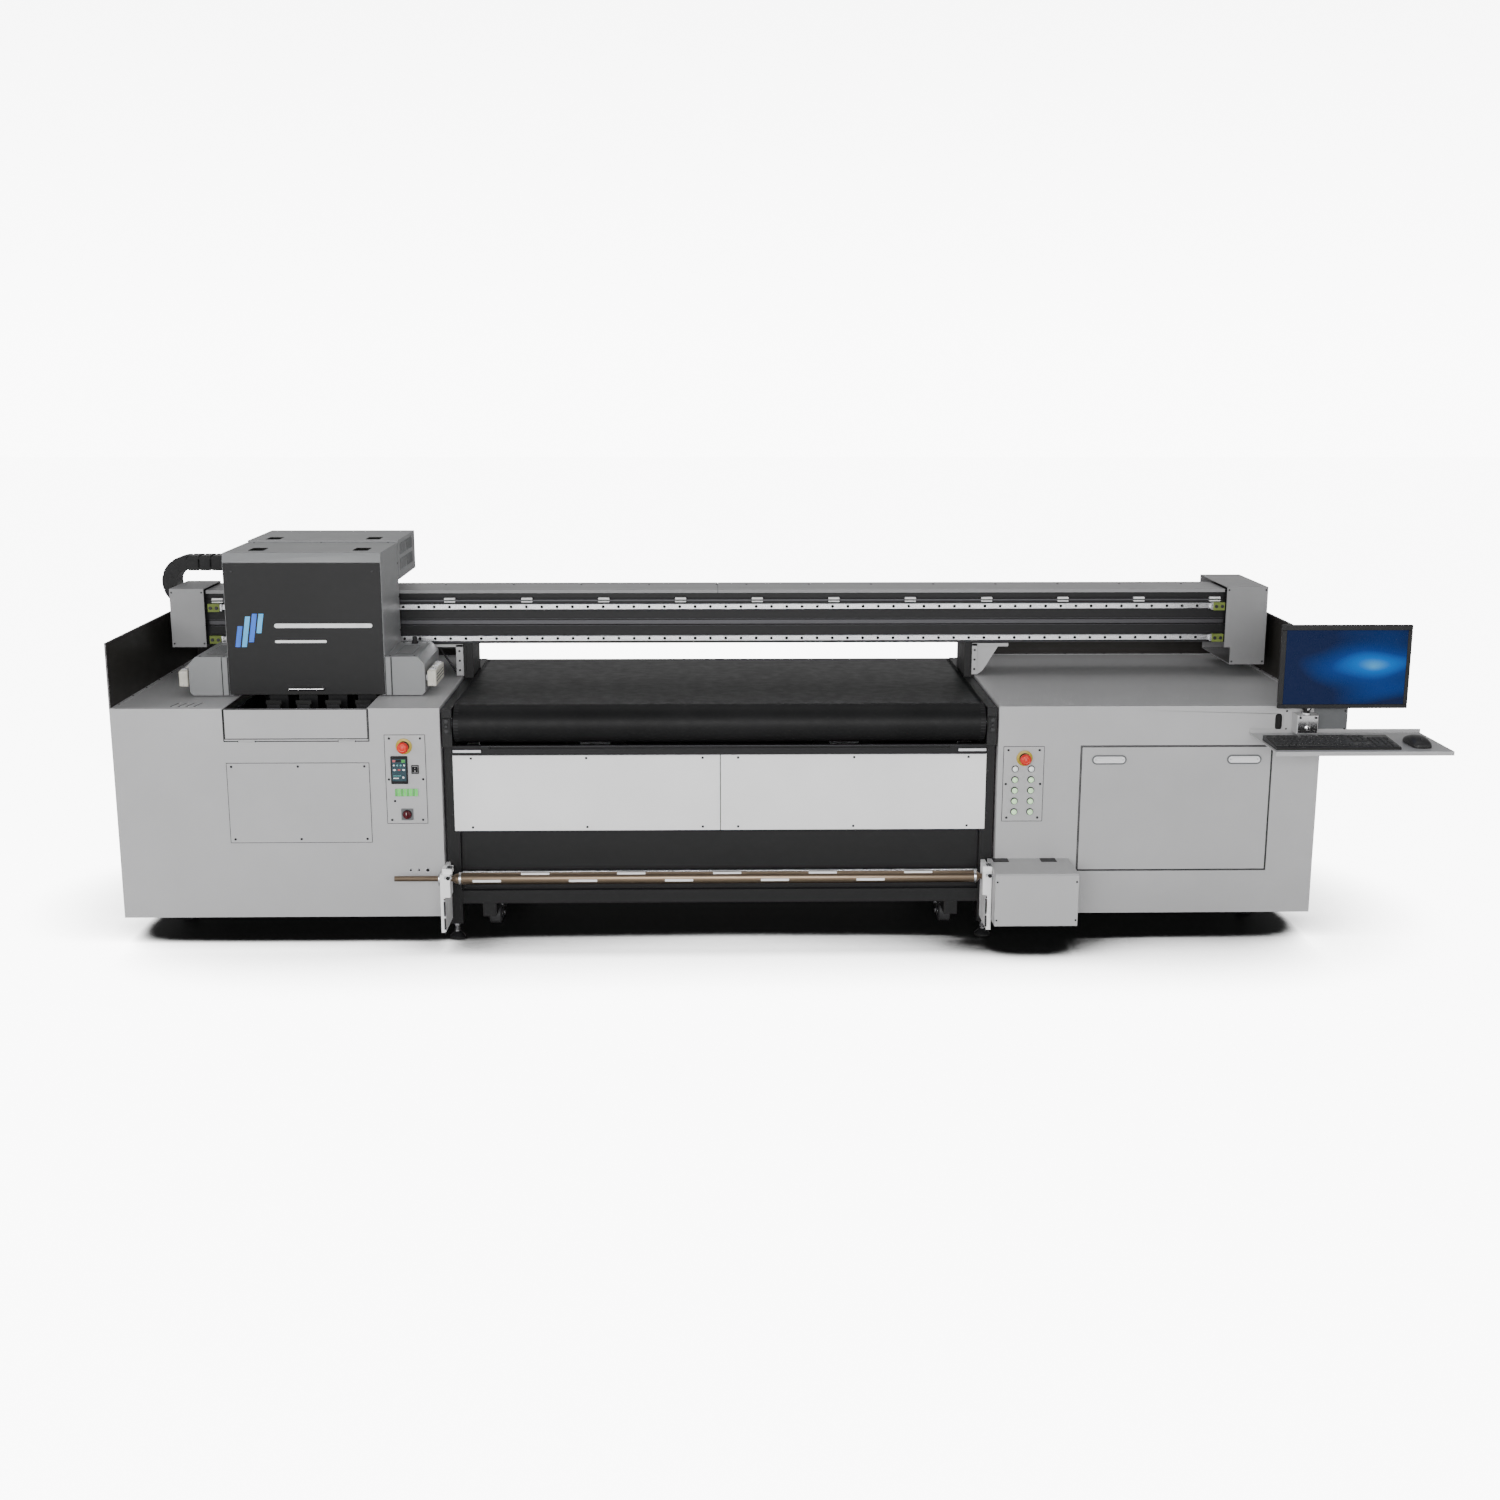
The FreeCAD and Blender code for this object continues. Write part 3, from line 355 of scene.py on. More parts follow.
class Piece:
    """One named mesh, gathered from rounded boxes, turned shapes and pressed outlines."""

    def __init__(self, name, body, *materials):
        self.name, self.body, self.materials = name, body, materials
        self.mesh = bmesh.new()
        self.turn = Matrix.Identity(4)

    def add(self, points, faces, slot=0):
        made = [self.mesh.verts.new(self.turn @ Vector(point)) for point in points]
        for face in faces:
            new = self.mesh.faces.new([made[i] for i in face])
            new.material_index = slot
            new.smooth = True

    def box(self, corner, opposite, edge=0.8, slot=0):
        """A box between two corners, with every edge chamfered by a small flat."""
        low = Vector([min(pair) for pair in zip(corner, opposite)])
        high = Vector([max(pair) for pair in zip(corner, opposite)])
        edge = min(edge, *((high - low) * 0.45))
        if edge <= 0.01:
            x, y, z = zip(low, high)
            points = [(x[i], y[j], z[k]) for i in (0, 1) for j in (0, 1) for k in (0, 1)]
            faces = [(0, 1, 3, 2), (4, 6, 7, 5), (0, 4, 5, 1), (2, 3, 7, 6), (0, 2, 6, 4),
                     (1, 5, 7, 3)]
            self.add(points, faces, slot)
            return self
        points, index = [], {}
        for corner in range(8):
            side = [(corner >> i) & 1 for i in range(3)]
            for face_axis in range(3):
                point = [0.0] * 3
                for axis in range(3):
                    inset = 0 if axis == face_axis else edge
                    point[axis] = high[axis] - inset if side[axis] else low[axis] + inset
                index[corner, face_axis] = len(points)
                points.append(point)
        faces = []
        for axis in range(3):
            one, two = (axis + 1) % 3, (axis + 2) % 3
            for end in (0, 1):
                ring = [(0, 0), (1, 0), (1, 1), (0, 1)]
                ring = ring if end else ring[::-1]
                faces.append([index[(end << axis) | (a << one) | (b << two), axis]
                              for a, b in ring])
            for a in (0, 1):
                for b in (0, 1):
                    base = (a << one) | (b << two)
                    far = base | (1 << axis)
                    quad = [index[base, one], index[far, one], index[far, two],
                            index[base, two]]
                    faces.append(quad if a == b else quad[::-1])
        for corner in range(8):
            triple = [index[corner, axis] for axis in range(3)]
            flips = bin(corner).count("1") % 2
            faces.append(triple if flips else triple[::-1])
        self.add(points, faces, slot)
        return self

    def turned(self, axis, origin, profile, count=32, slot=0):
        """A shape turned about an axis: profile is (distance along, radius), from end to end."""
        along, (u, v) = AXES[axis], across(axis)
        origin = Vector(origin)
        points, rings, faces = [], [], []
        for distance, radius in profile:
            centre = origin + along * distance
            if radius <= 0:
                rings.append([len(points)])
                points.append(centre)
                continue
            rings.append(list(range(len(points), len(points) + count)))
            for i in range(count):
                turn = math.tau * i / count
                points.append(centre + (u * math.cos(turn) + v * math.sin(turn)) * radius)
        for a, b in zip(rings, rings[1:]):
            for i in range(count):
                j = (i + 1) % count
                if len(a) == 1 and len(b) > 1:
                    faces.append((a[0], b[i], b[j]))
                elif len(b) == 1 and len(a) > 1:
                    faces.append((a[i], b[0], a[j]))
                elif len(a) > 1:
                    faces.append((a[i], b[i], b[j], a[j]))
        self.add(points, faces, slot)
        return self

    def disc(self, axis, origin, radius, length, edge=0.4, count=28, slot=0):
        """A cylinder with small chamfers, from origin along the axis (length may be negative)."""
        sign = 1 if length > 0 else -1
        edge = min(edge, abs(length) * 0.4, radius * 0.4) * sign
        inner = radius - abs(edge)
        profile = [(0, 0), (0, inner), (edge, radius), (length - edge, radius),
                   (length, inner), (length, 0)]
        return self.turned(axis, origin, profile, count, slot)

    def tube(self, axis, origin, radius, bore, length, count=28, slot=0):
        """A ring with small outer chamfers; its length may be negative."""
        edge = math.copysign(0.4, length)
        profile = [(0, bore), (0, radius - 0.4), (edge, radius), (length - edge, radius),
                   (length, radius - 0.4), (length, bore), (0, bore)]
        return self.turned(axis, origin, profile, count, slot)

    def discs(self, axis, places, radius, length, edge=0.4, count=28, slot=0):
        """The same disc at several places."""
        for place in places:
            self.disc(axis, place, radius, length, edge, count, slot)
        return self

    def pressed(self, axis, start, length, outline, slot=0):
        """A closed outline, given in the two directions across the axis, pressed along it."""
        along, (u, v) = AXES[axis], across(axis)
        count = len(outline)
        points = [u * a + v * b + along * (start + d) for d in (0, length) for a, b in outline]
        faces = [tuple(range(count))[::-1], tuple(range(count, 2 * count))]
        self.add(points, faces + bands(count, 2), slot)
        return self

    def pill(self, axis, centre, half_length, radius, start, length, along=0, slot=0, count=10):
        """A round-ended bar outline pressed along an axis; along picks its long direction."""
        outline = rounded_bar(half_length, radius, count)
        if along:
            outline = [(b, a) for a, b in outline]
        outline = [(a + centre[0], b + centre[1]) for a, b in outline]
        return self.pressed(axis, start, length, outline, slot)

    def hexagon(self, axis, origin, across_flats, length, slot=0):
        """A hexagonal prism, from origin along the axis."""
        u, v = across(axis)
        radius = across_flats / math.sqrt(3)
        a, b = Vector(origin).dot(u), Vector(origin).dot(v)
        outline = [(a + radius * math.cos(math.radians(60 * i)),
                    b + radius * math.sin(math.radians(60 * i))) for i in range(6)]
        return self.pressed(axis, Vector(origin).dot(AXES[axis]), length, outline, slot)

    def done(self, smooth_angle=32):
        """Place the mesh in the frame and let it ride its body."""
        bmesh.ops.recalc_face_normals(self.mesh, faces=self.mesh.faces)
        for edge in self.mesh.edges:
            edge.smooth = edge.is_manifold and edge.calc_face_angle(0) < math.radians(smooth_angle)
        move = Matrix.Translation((MID_X, FRONT_Y, 0)) @ Matrix.Diagonal((MM, MM, MM, 1))
        bmesh.ops.transform(self.mesh, matrix=move, verts=self.mesh.verts)
        mesh = bpy.data.meshes.new(self.name)
        self.mesh.to_mesh(mesh)
        self.mesh.free()
        for material in self.materials:
            mesh.materials.append(material)
        piece = bpy.data.objects.new(self.name, mesh)
        bpy.context.scene.collection.objects.link(piece)
        if self.body:
            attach(piece, self.body)
        return piece


def bands(count, rings):
    """The four-sided faces between neighbouring closed rings of count points."""
    return [(ring * count + i, ring * count + (i + 1) % count,
             (ring + 1) * count + (i + 1) % count, (ring + 1) * count + i)
            for ring in range(rings - 1) for i in range(count)]


def around(axis, centre, radius, count, start=0.0):
    """Evenly spaced places on a circle square to an axis, from an angle in degrees."""
    u, v = across(axis)
    turns = [math.radians(start) + math.tau * i / count for i in range(count)]
    return [Vector(centre) + (u * math.cos(turn) + v * math.sin(turn)) * radius for turn in turns]


def turned_at(place, degrees, axis):
    """A frame at a place, turned about one axis."""
    return Matrix.Translation(place) @ Matrix.Rotation(math.radians(degrees), 4, axis)


def rounded_bar(half_length, radius, count=10):
    """A bar outline with round ends, along its first direction."""
    points = []
    for centre, start in ((half_length - radius, -90), (-(half_length - radius), 90)):
        for i in range(count + 1):
            turn = math.radians(start + 180 * i / count)
            points.append((centre + radius * math.cos(turn), radius * math.sin(turn)))
    return points


def rounded_rectangle(u0, u1, v0, v1, radius, count=5):
    """A rectangle outline with round corners."""
    points = []
    for cu, cv, start in ((u1 - radius, v0 + radius, -90), (u1 - radius, v1 - radius, 0),
                          (u0 + radius, v1 - radius, 90), (u0 + radius, v0 + radius, 180)):
        for i in range(count + 1):
            turn = math.radians(start + 90 * i / count)
            points.append((cu + radius * math.cos(turn), cv + radius * math.sin(turn)))
    return points


# ---------------------------------------------------------------------------------------------
# Beam, rails and carriage
# ---------------------------------------------------------------------------------------------
def rails():
    """Two profile rails with waisted sides and a counterbored bolt hole every 60 mm."""
    piece = Piece("rail_profiles", "machine", STEEL, RECESS_SHADE_BLACK)
    face, half, pitch, bore, depth, holes, corners = 632.5, RAIL_HALF, 60, 6.0, 5, 66, 12
    for z in RAIL_Z:
        side = [(650, 10), (643, 10), (641.5, 8.4), (636.5, 8.4), (635, 10), (633.6, 10),
                (face, 9.2)]
        outline = side + [(y, -v) for y, v in reversed(side)]
        points = [(x, y, z + v) for x in (-half, half) for y, v in outline]
        count = len(outline)
        faces = [tuple(range(count)), tuple(range(2 * count - 1, count - 1, -1))]
        faces += [quad for i, quad in enumerate(bands(count, 2)) if i != len(side) - 1]
        piece.add(points, faces)
        edge = [(30, 0), (30, 9.2), (10, 9.2), (0, 9.2), (-10, 9.2), (-30, 9.2), (-30, 0),
                (-30, -9.2), (-10, -9.2), (0, -9.2), (10, -9.2), (30, -9.2)]
        turns = [math.tau * i / corners for i in range(corners)]
        ring = [(bore * math.cos(turn), bore * math.sin(turn)) for turn in turns]
        for hole in range(holes):
            x = -half + 35 + pitch * hole
            left = -35 if hole == 0 else -30
            right = 45 if hole == holes - 1 else 30
            rim = [(max(left, a) if a > -30 else left, b) if a < 0 else
                   (right if a == 30 else a, b) for a, b in edge]
            points = [(x + a, face, z + b) for a, b in rim]
            points += [(x + a, face, z + b) for a, b in ring]
            points += [(x + a, face + depth, z + b) for a, b in ring]
            piece.add(points, bands(corners, 2))
            # The hole's wall and floor are near-black: painted shade inside the counterbore.
            piece.add(points[corners:], bands(corners, 2)
                      + [tuple(range(corners, 2 * corners))], 1)
    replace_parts(piece.done(), "linear_rails")


def beam_details():
    """Scale band in the beam's groove, edge lips, stop bolts, end-cover screws and strip clips."""
    band = Piece("beam_scale_band", "machine", BEAM_EDGE)
    band.box((-1998, 653, 1092), (1998, 655, 1108), 0.6)
    band.box((-1998, 648.8, 1112.5), (1998, 650, 1114.5), 0.4)
    band.done()
    lips = Piece("beam_edge_lips", "machine", BEAM_EDGE)
    for z in (1018, 1086, 1187.5, 1219):
        lips.box((-1990, 648.6, z), (1990, 650.2, z + 2.2), 0.5)
    lips.done()
    stops = Piece("bumper_bolts", "machine", DARK_STEEL, STEEL)
    for side in (-1, 1):
        for z in RAIL_Z:
            for x in (1956, 1979):
                stops.disc("y", (side * x, 612, z), 6.5, -4, 0.6)
                stops.hexagon("y", (side * x, 608.2, z), 6, -0.4)
            stops.box((side * 1944 - 7, 618, z - 14), (side * 1944 + 7, 632, z + 14), 1, 1)
    stops.done()
    screws = Piece("end_cover_screws", "machine", DARK_STEEL)
    cover_front, cover_mid_y, cover_top = 610, 800, 1229
    corners = ((-2126, 1024), (-2126, 1224), (-2010, 1024), (-2010, 1224),
               (2003, 1228), (2149, 1228), (2027, 944), (2149, 944))
    screws.discs("y", [(x, cover_front, z) for x, z in corners], 3.6, -1.6, 0.6)
    along = [x for i in range(8) for x in (-1900 + 270 * i, 110 + 250 * i) if x + 6 < RAIL_HALF]
    screws.discs("z", [(x, cover_mid_y, cover_top) for x in along], 4, 1.6, 0.6)
    screws.done()
    clips = Piece("strip_clips", "machine", TILE_WHITE, DARK_STEEL, BEAM_EDGE)
    for i in range(14):
        x = -1979 + 301 * i
        clips.box((x, 634, 1180), (x + 43, 650, 1198), 1.4)
        for dx in (9, 34):
            clips.disc("y", (x + dx, 634, 1187), 2.6, -1, 0.3, 14, 1)
    clips.box((-1979, 633.4, 1185), (1978, 634.2, 1191), 0.2, 2)
    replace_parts(clips.done(), "encoder_strip")


def gantry_details():
    """Light gusset faces and angle strips with their bolts, and the roller bearing blocks."""
    faces = Piece("gusset_faces", "machine", GREY, DARK_STEEL)
    right = [(1000, 1015), (1142, 1015), (1142, 1001), (1103, 1001), (1044, 905), (1022, 889),
             (1000, 889)]
    faces.pressed("y", 640.2, 1.6, right)
    front = 634
    for low, high in (((1000, 890), (1021, 1014)), ((1000, 1004), (1143, 1015)),
                      ((-1036, 890), (-1008, 1014)), ((-1143, 1004), (-1008, 1015))):
        back = 640 if low[0] > 0 else 641.8
        faces.box((low[0], front, low[1]), (high[0], back, high[1]), 0.8)
    for x in (1010, -1022):
        for z in (912, 950, 988):
            faces.disc("y", (x, front, z), 4.5, -2.5, 0.6, 20, 1)
            faces.hexagon("y", (x, front - 2.6, z), 4, -0.3, 1)
    faces.done()
    blocks = Piece("bearing_blocks", "machine", DARK, DARK_STEEL)
    for side in (-1, 1):
        for y in (10, 1110):
            out = -1 if y == 10 else 1
            blocks.box((side * 974, y, 790), (side * 1006, y + out * 9, 846), 1.2)
            for z in (800, 836):
                blocks.hexagon("y", (side * 990, y + out * 9, z), 13, out * 5, 1)
            blocks.disc("y", (side * 990, y + out * 9, 818), 5, out * 7, 0.6, 20, 1)
        outside, flange = side * 1008, 3.5
        for y in ROLLER_Y:
            blocks.tube("x", (outside, y, ROLLER_Z), 30, 11, side * flange, 36)
            bolts = around("x", (outside + side * flange, y, ROLLER_Z), 22, 4, 45)
            blocks.discs("x", bolts, 3, side * 2, 0.4, 14, 1)
        blocks.discs("x", [(outside, y, z) for y in (690, 830) for z in (770, 850, 930)],
                     5, side * 3, 0.6, 18, 1)
    blocks.done()
    bolts = Piece("frame_bolts", "machine", DARK_STEEL)
    for side in (-1, 1):
        bolts.discs("y", [(side * 983, 36, z) for z in (220, 480, 640, 716)], 3.6, -2, 0.5, 18)
        bolts.discs("y", [(side * x, 60, z) for x in (700, 250) for z in (206, 412)],
                    4, -2, 0.5, 18)
    bolts.done()


def carriage_door():
    """Black lift-up door, its chrome grip and a plain pattern of slanted and flat bars."""
    door = Piece("door_panel", "carriage_door", BLACK, CHROME, DARK_STEEL)
    door.box((-1820, 228.7, 892), (-1246, 232.7, 1382.5), 1.4)
    door.turned("x", (-1597, 208, 917), [(0, 0), (0, 3), (1, 4.6), (127, 4.6), (128, 3),
                                         (128, 0)], 20, 1)
    for x in (-1593, -1473):
        door.turned("y", (x, 208, 917), [(-2, 0), (-2, 4), (-1, 5.2), (13, 5.2), (17, 7.4),
                                         (20.7, 7.8), (20.7, 0)], 24, 1)
    for x in (-1790, -1276):
        door.disc("y", (x, 228.7, 1352), 3.4, -1.6, 0.5, 18, 2)
    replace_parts(door.done(), "carriage_door")
    mark = Piece("door_pattern", "carriage_door", TILE_BLUE, TILE_CYAN, TILE_WHITE)
    mark_y, thickness, lean, bottom = 228.1, 0.6, 0.16, 1072
    for i, (low, high) in enumerate(((bottom, 1150), (bottom, 1186), (1090, 1196), (1124, 1196))):
        left, width = -1790 + 24 * i, 18
        corners = ((left, low), (left + width, low), (left + width, high), (left, high))
        mark.pressed("y", mark_y, thickness, [(x + lean * (z - bottom), z) for x, z in corners],
                     i % 2)
    mark.pill("y", (-1463, 1151), 180, 8, mark_y, thickness, 0, 2)
    mark.pill("y", (-1548, 1092), 95, 5, mark_y, thickness, 0, 2)
    mark.done()


def hood_details():
    """Pull cups on the carriage tops, the rear box's louvres, seams and the side flange."""
    housing = ((-1717, 355), (-1332, 355)), HOUSING_TOP
    rear = ((-1735, 700), (-1348, 700)), REAR_BOX_TOP
    for name, body, (cups, top) in (("housing_cups", "carriage", housing),
                                    ("rear_box_cups", "carriage_slide", rear)):
        # The pull cups are near-black throughout, painting the shade inside the recesses.
        piece = Piece(name, body, RECESS_SHADE_BLACK)
        for x, y in cups:
            outer = rounded_rectangle(x - 28, x + 28, y - 43, y + 43, 5)
            inner = rounded_rectangle(x - 23, x + 23, y - 38, y + 38, 3)
            count = len(outer)
            points = [(a, b, top + rise) for ring, rise in ((outer, -0.05), (outer, 1.2),
                                                            (inner, 1.2), (inner, -5))
                      for a, b in ring]
            piece.add(points, bands(count, 4) + [tuple(range(3 * count, 4 * count))])
        for point in piece.mesh.verts:
            if top == REAR_BOX_TOP:
                point.co.z = min(point.co.z, top)
        piece.done()
    louvres = Piece("rear_box_louvres", "carriage_slide", BLACK, MID_GREY)
    for low, high in ((1366, 1410), (1306, 1350)):
        for i in range(14):
            y = 655 + 20 * i + (14 if i >= 7 else 0)
            lean = 12 if (i // 7) % 2 == 0 else -12
            start = y if lean > 0 else y + 12
            slot = [(start, low), (start + 8, low), (start + 8 + lean, high), (start + lean, high)]
            # Black slot outlines on both sides of the rear box: painted shade of the openings
            # under the hoods.
            for x in (CARRIAGE_RIGHT - 0.2, CARRIAGE_LEFT - 0.3):
                louvres.pressed("x", x, 0.5, slot)
            hood = [(start + 8, low), (start + 11, low), (start + 11 + lean, high),
                    (start + 8 + lean, high)]
            louvres.pressed("x", CARRIAGE_RIGHT, 2.2, hood, 1)
            louvres.pressed("x", CARRIAGE_LEFT, -2.2, hood, 1)
    louvres.done()
    seams = Piece("housing_seams", "carriage", MID_GREY, DARK_STEEL)
    for x, out in ((CARRIAGE_LEFT, -1), (CARRIAGE_RIGHT, 1)):
        seams.box((x, 236, 1040), (x + out * 1.2, 248, 1376), 0.5)
        seams.discs("x", [(x, 590, z) for z in (1080, 1210, 1340)], 3.4, out * 1.6, 0.5, 18, 1)
    seams.discs("z", [(x, 590, HOUSING_TOP) for x in (-1790, -1533, -1276)], 3.4, 1.6, 0.5, 18, 1)
    seams.done()


def lamp_details():
    """Edge flanges, top grilles, cable glands and windows of the lamp boxes."""
    flanges = Piece("lamp_flanges", "carriage", MID_GREY, BLACK, DARK_STEEL)
    bottom, top = 889.5, 1034
    for inner, out in ((CARRIAGE_LEFT, -1), (CARRIAGE_RIGHT, 1)):
        flanges.box((inner + out * 3, 229.5, bottom), (inner + out * 22, 233.2, 1033), 1.2)
        # Black lines along both edges of each flange strip: painted shade in the grooves beside
        # it.
        for near, far in ((0, 3), (22, 26)):
            flanges.box((inner + out * near, 232.4, bottom), (inner + out * far, 233.4, 1033),
                        0.3, 1)
        near, far = inner + out * 30, inner + out * 96
        # Black strips between the raised grille bars: painted shade of the openings.
        for y in [300 + 24 * i for i in range(9)]:
            flanges.box((near, y, top - 0.2), (far, y + 9, top + 0.6), 0.3, 1)
            flanges.box((near, y + 9, top - 0.2), (far, y + 12, top + 2), 0.6)
        corners = [(inner + out * x, y, top) for y in (250, 560) for x in (18, 108)]
        flanges.discs("z", corners, 3.2, 1.6, 0.5, 16, 2)
        flanges.discs("y", [(inner + out * 24, 233, z) for z in (905, 1018)],
                      2.6, -1.4, 0.4, 16, 2)
        gland = [(0, 0), (0, 13), (9, 13), (11, 10), (24, 9), (26, 6), (26, 0)]
        flanges.turned("z", (inner + out * 63, 545, top), gland, 24, 1)
    flanges.done()
    windows = Piece("lamp_windows", "carriage", LAMP_GLASS, STEEL)
    for x in (-1942, -1224):
        windows.box((x + 2, 247, 893), (x + 98, 573, 896), 0.6)
        for y in (245, 571):
            windows.box((x + 1, y, 891), (x + 99, y + 4, 897), 0.5, 1)
    windows.done()


def ion_bars():
    """Static eliminator bars: cream bodies with end caps, clamps, slots and emitter pins."""
    bars = Piece("ion_bar_bodies", "carriage", CREAM, STEEL, BLACK_PLASTIC)
    width, bottom, top = 32, 920, 981
    for low, out in ((-2009, -1), (-1089, 1)):
        middle = low + width / 2
        bars.box((low, 246, bottom), (low + width, 434, top), 3)
        for y in (240, 434):
            bars.box((low, y, bottom + 2), (low + width, y + 6, top - 2), 2)
        bars.box((low + 9, 238.8, 934), (low + 23, 240.2, 968), 1.2)
        bars.discs("y", [(middle, 240.4, z) for z in (928, 974)], 2.4, -1.4, 0.4, 14, 1)
        inner = low + width if out < 0 else low
        for y in (270, 340, 410):
            bars.box((low + 4, y - 9, top), (low + 28, y + 9, top + 4), 0.8, 1)
            bars.disc("z", (middle, y, top + 4), 4, 3, 0.6, 16, 1)
            bars.box((inner, y - 8, 938), (inner - out * 8, y + 8, 962), 0.8, 1)
        for i in range(10):
            y = 258 + 18.5 * i
            bars.tube("z", (middle, y, bottom + 1), 5, 2.6, -2.5, 14, 2)
            bars.turned("z", (middle, y, bottom + 0.5), [(0, 0.9), (-3, 0.8), (-6, 0)], 8, 1)
        outer = low if out < 0 else low + width
        # Black strips on the outer side: painted shade of the slots.
        for z in (938, 950, 962):
            bars.box((outer, 252, z - 1.2), (outer + out * 0.8, 428, z + 1.2), 0.3, 2)
    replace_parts(bars.done(), "ion_bars")


def heads():
    """Nozzle plates, ink connectors and cables of the eight print heads."""
    piece = Piece("nozzle_plates", "carriage", CHROME, BLACK_PLASTIC, ALUMINIUM)
    bottom, body_top, top = 887.6, 949, 985
    connector = [(0, 0), (0, 6), (10, 6), (12, 4), (22, 4), (22, 0)]
    for x, y in [(x, y) for x in HEAD_X for y in HEAD_Y]:
        piece.box((x + 6, y + 5, bottom - 1), (x + 64, y + 95, bottom), 0.4)
        for row in (14, 26, 38, 50):
            piece.box((x + row, y + 12, bottom - 1.4), (x + row + 2, y + 88, bottom - 0.9),
                      0.2, 1)
        piece.box((x + 8, y + 8, body_top), (x + 62, y + 92, top), 2.5, 1)
        for dx in (20, 50):
            piece.turned("z", (x + dx, y + 25, top), connector, 16, 2)
        piece.box((x + 18, y + 60, top), (x + 52, y + 66, 1030), 0.8, 2)
    piece.done()


# ---------------------------------------------------------------------------------------------
# Cable chain
# ---------------------------------------------------------------------------------------------
LOOP_RADIUS = 75
LOOP_LINKS = 5
LINK = LOOP_RADIUS * math.pi / LOOP_LINKS
CHAIN_X, CHAIN_Z = -2137, 1231
CHAIN_BACK, CHAIN_FRONT = 884, 980
HALF_LINK = 29


def chain_link(piece, place):
    """One link along +X from its joint: side plates, lids with gaps and the hoses inside."""
    piece.turn = place
    for y in (CHAIN_BACK, CHAIN_FRONT - 7):
        plate = [(-6, -14), (2, -HALF_LINK), (LINK - 4, -HALF_LINK), (LINK - 1, -12),
                 (LINK - 1, 12), (LINK - 4, HALF_LINK), (2, HALF_LINK), (-6, 14)]
        piece.pressed("y", y, 7, plate)
        out = 0 if y > CHAIN_BACK else 7
        piece.disc("y", (LINK - 8, y + out, 0), 9, 1.2 if out else -1.2, 0.4, 14)
    for z in (-HALF_LINK - 0.6, HALF_LINK - 4):
        piece.box((4, CHAIN_BACK + 3, z), (LINK - 8, CHAIN_FRONT - 3, z + 4.6), 1)
    for i, (y, radius) in enumerate(((904, 9), (925, 7), (943, 8), (961, 6))):
        piece.turned("x", (-2, y, (-1) ** i * 5), [(0, radius), (LINK + 4, radius)], 10, 1)
    piece.turn = Matrix.Identity(4)


def chain_sector(start, end, inner, outer):
    """The outline of one bent link of the loop, between two angles in degrees."""
    steps = 6
    turns = [math.radians(start + (end - start) * i / steps) for i in range(steps + 1)]
    ring = [(outer, turn) for turn in turns] + [(inner, turn) for turn in reversed(turns)]
    return [(CHAIN_X + radius * math.cos(turn), CHAIN_Z + radius * math.sin(turn))
            for radius, turn in ring]


def cable_chain():
    """Upper run into the rear box, the loop that follows at half speed, and the lower run."""
    loop = Piece("chain_loop_links", "chain_loop", CHAIN, HOSE)
    for i in range(LOOP_LINKS):
        start = 90 + 36 * i
        loop.pressed("y", CHAIN_BACK + 2, CHAIN_FRONT - CHAIN_BACK - 4,
                     chain_sector(start, start + 36, 47.5, 102.5))
        for y in (CHAIN_BACK, CHAIN_FRONT - 2):
            loop.pressed("y", y, 2, chain_sector(start + 1.2, start + 34.8, 46, 104))
        loop.pressed("y", CHAIN_BACK + 5, CHAIN_FRONT - CHAIN_BACK - 10,
                     chain_sector(start + 5, start + 31, 100, 104.6))
        hub = around("y", (CHAIN_X, CHAIN_BACK, CHAIN_Z), LOOP_RADIUS, 1, start + 33)
        loop.discs("y", hub, 9, -1.4, 0.4, 16)
    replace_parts(loop.done(), "cable_chain_loop")

    lower = Piece("chain_lower_links", "machine", CHAIN, HOSE)
    for i in range(35):
        chain_link(lower, Matrix.Translation((CHAIN_X + LINK * i + 4, 0, CHAIN_Z - LOOP_RADIUS)))
    lower.box((-489, CHAIN_BACK + 2, CHAIN_Z - 106), (-480, CHAIN_FRONT - 2, CHAIN_Z - 44), 1)
    lower = lower.done()
    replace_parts(lower, "cable_chain_lower")
    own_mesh(lower)

    upper = Piece("chain_upper_links", None, CHAIN, HOSE)
    half_run, links = 1500, 49
    blend_start, blend_end = -1822, -1250
    for i in range(links):
        chain_link(upper, Matrix.Translation((CHAIN_X + half_run + LINK * i + 4, 0,
                                              CHAIN_Z + LOOP_RADIUS)))
    for vertex in upper.mesh.verts:
        vertex.co.x = parked_place(vertex.co.x, blend_start, blend_end, half_run)
    upper = upper.done()
    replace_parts(upper, "cable_chain_upper")
    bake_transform(upper)


def parked_place(x, start, end, travel):
    """Where a point of the fully drawn-out run lies along X when the carriage is parked."""
    low, high = start - 600, end + 600
    for _ in range(40):
        middle = (low + high) / 2
        t = min(1.0, max(0.0, (middle - start) / (end - start)))
        if middle + travel + travel * t * t * (3 - 2 * t) < x:
            low = middle
        else:
            high = middle
    return (low + high) / 2


# ---------------------------------------------------------------------------------------------
# Cabinets, covers and controls
# ---------------------------------------------------------------------------------------------
def gap_shade_border(name, body, low, high, y, width):
    """Painted shade of the gap round a door or plate: four dark strips with rounded edges along
    its rim.
    """
    gap_shade_strips = Piece(name, body, RUBBER)
    (x0, z0), (x1, z1) = low, high
    for near, far in (((x0, z0), (x1, z0 + width)), ((x0, z1 - width), (x1, z1)),
                      ((x0, z0 + width), (x0 + width, z1 - width)),
                      ((x1 - width, z0 + width), (x1, z1 - width))):
        gap_shade_strips.box((near[0], y, near[1]), (far[0], y + 1.2, far[1]), 0.3)
    gap_shade_strips.done()


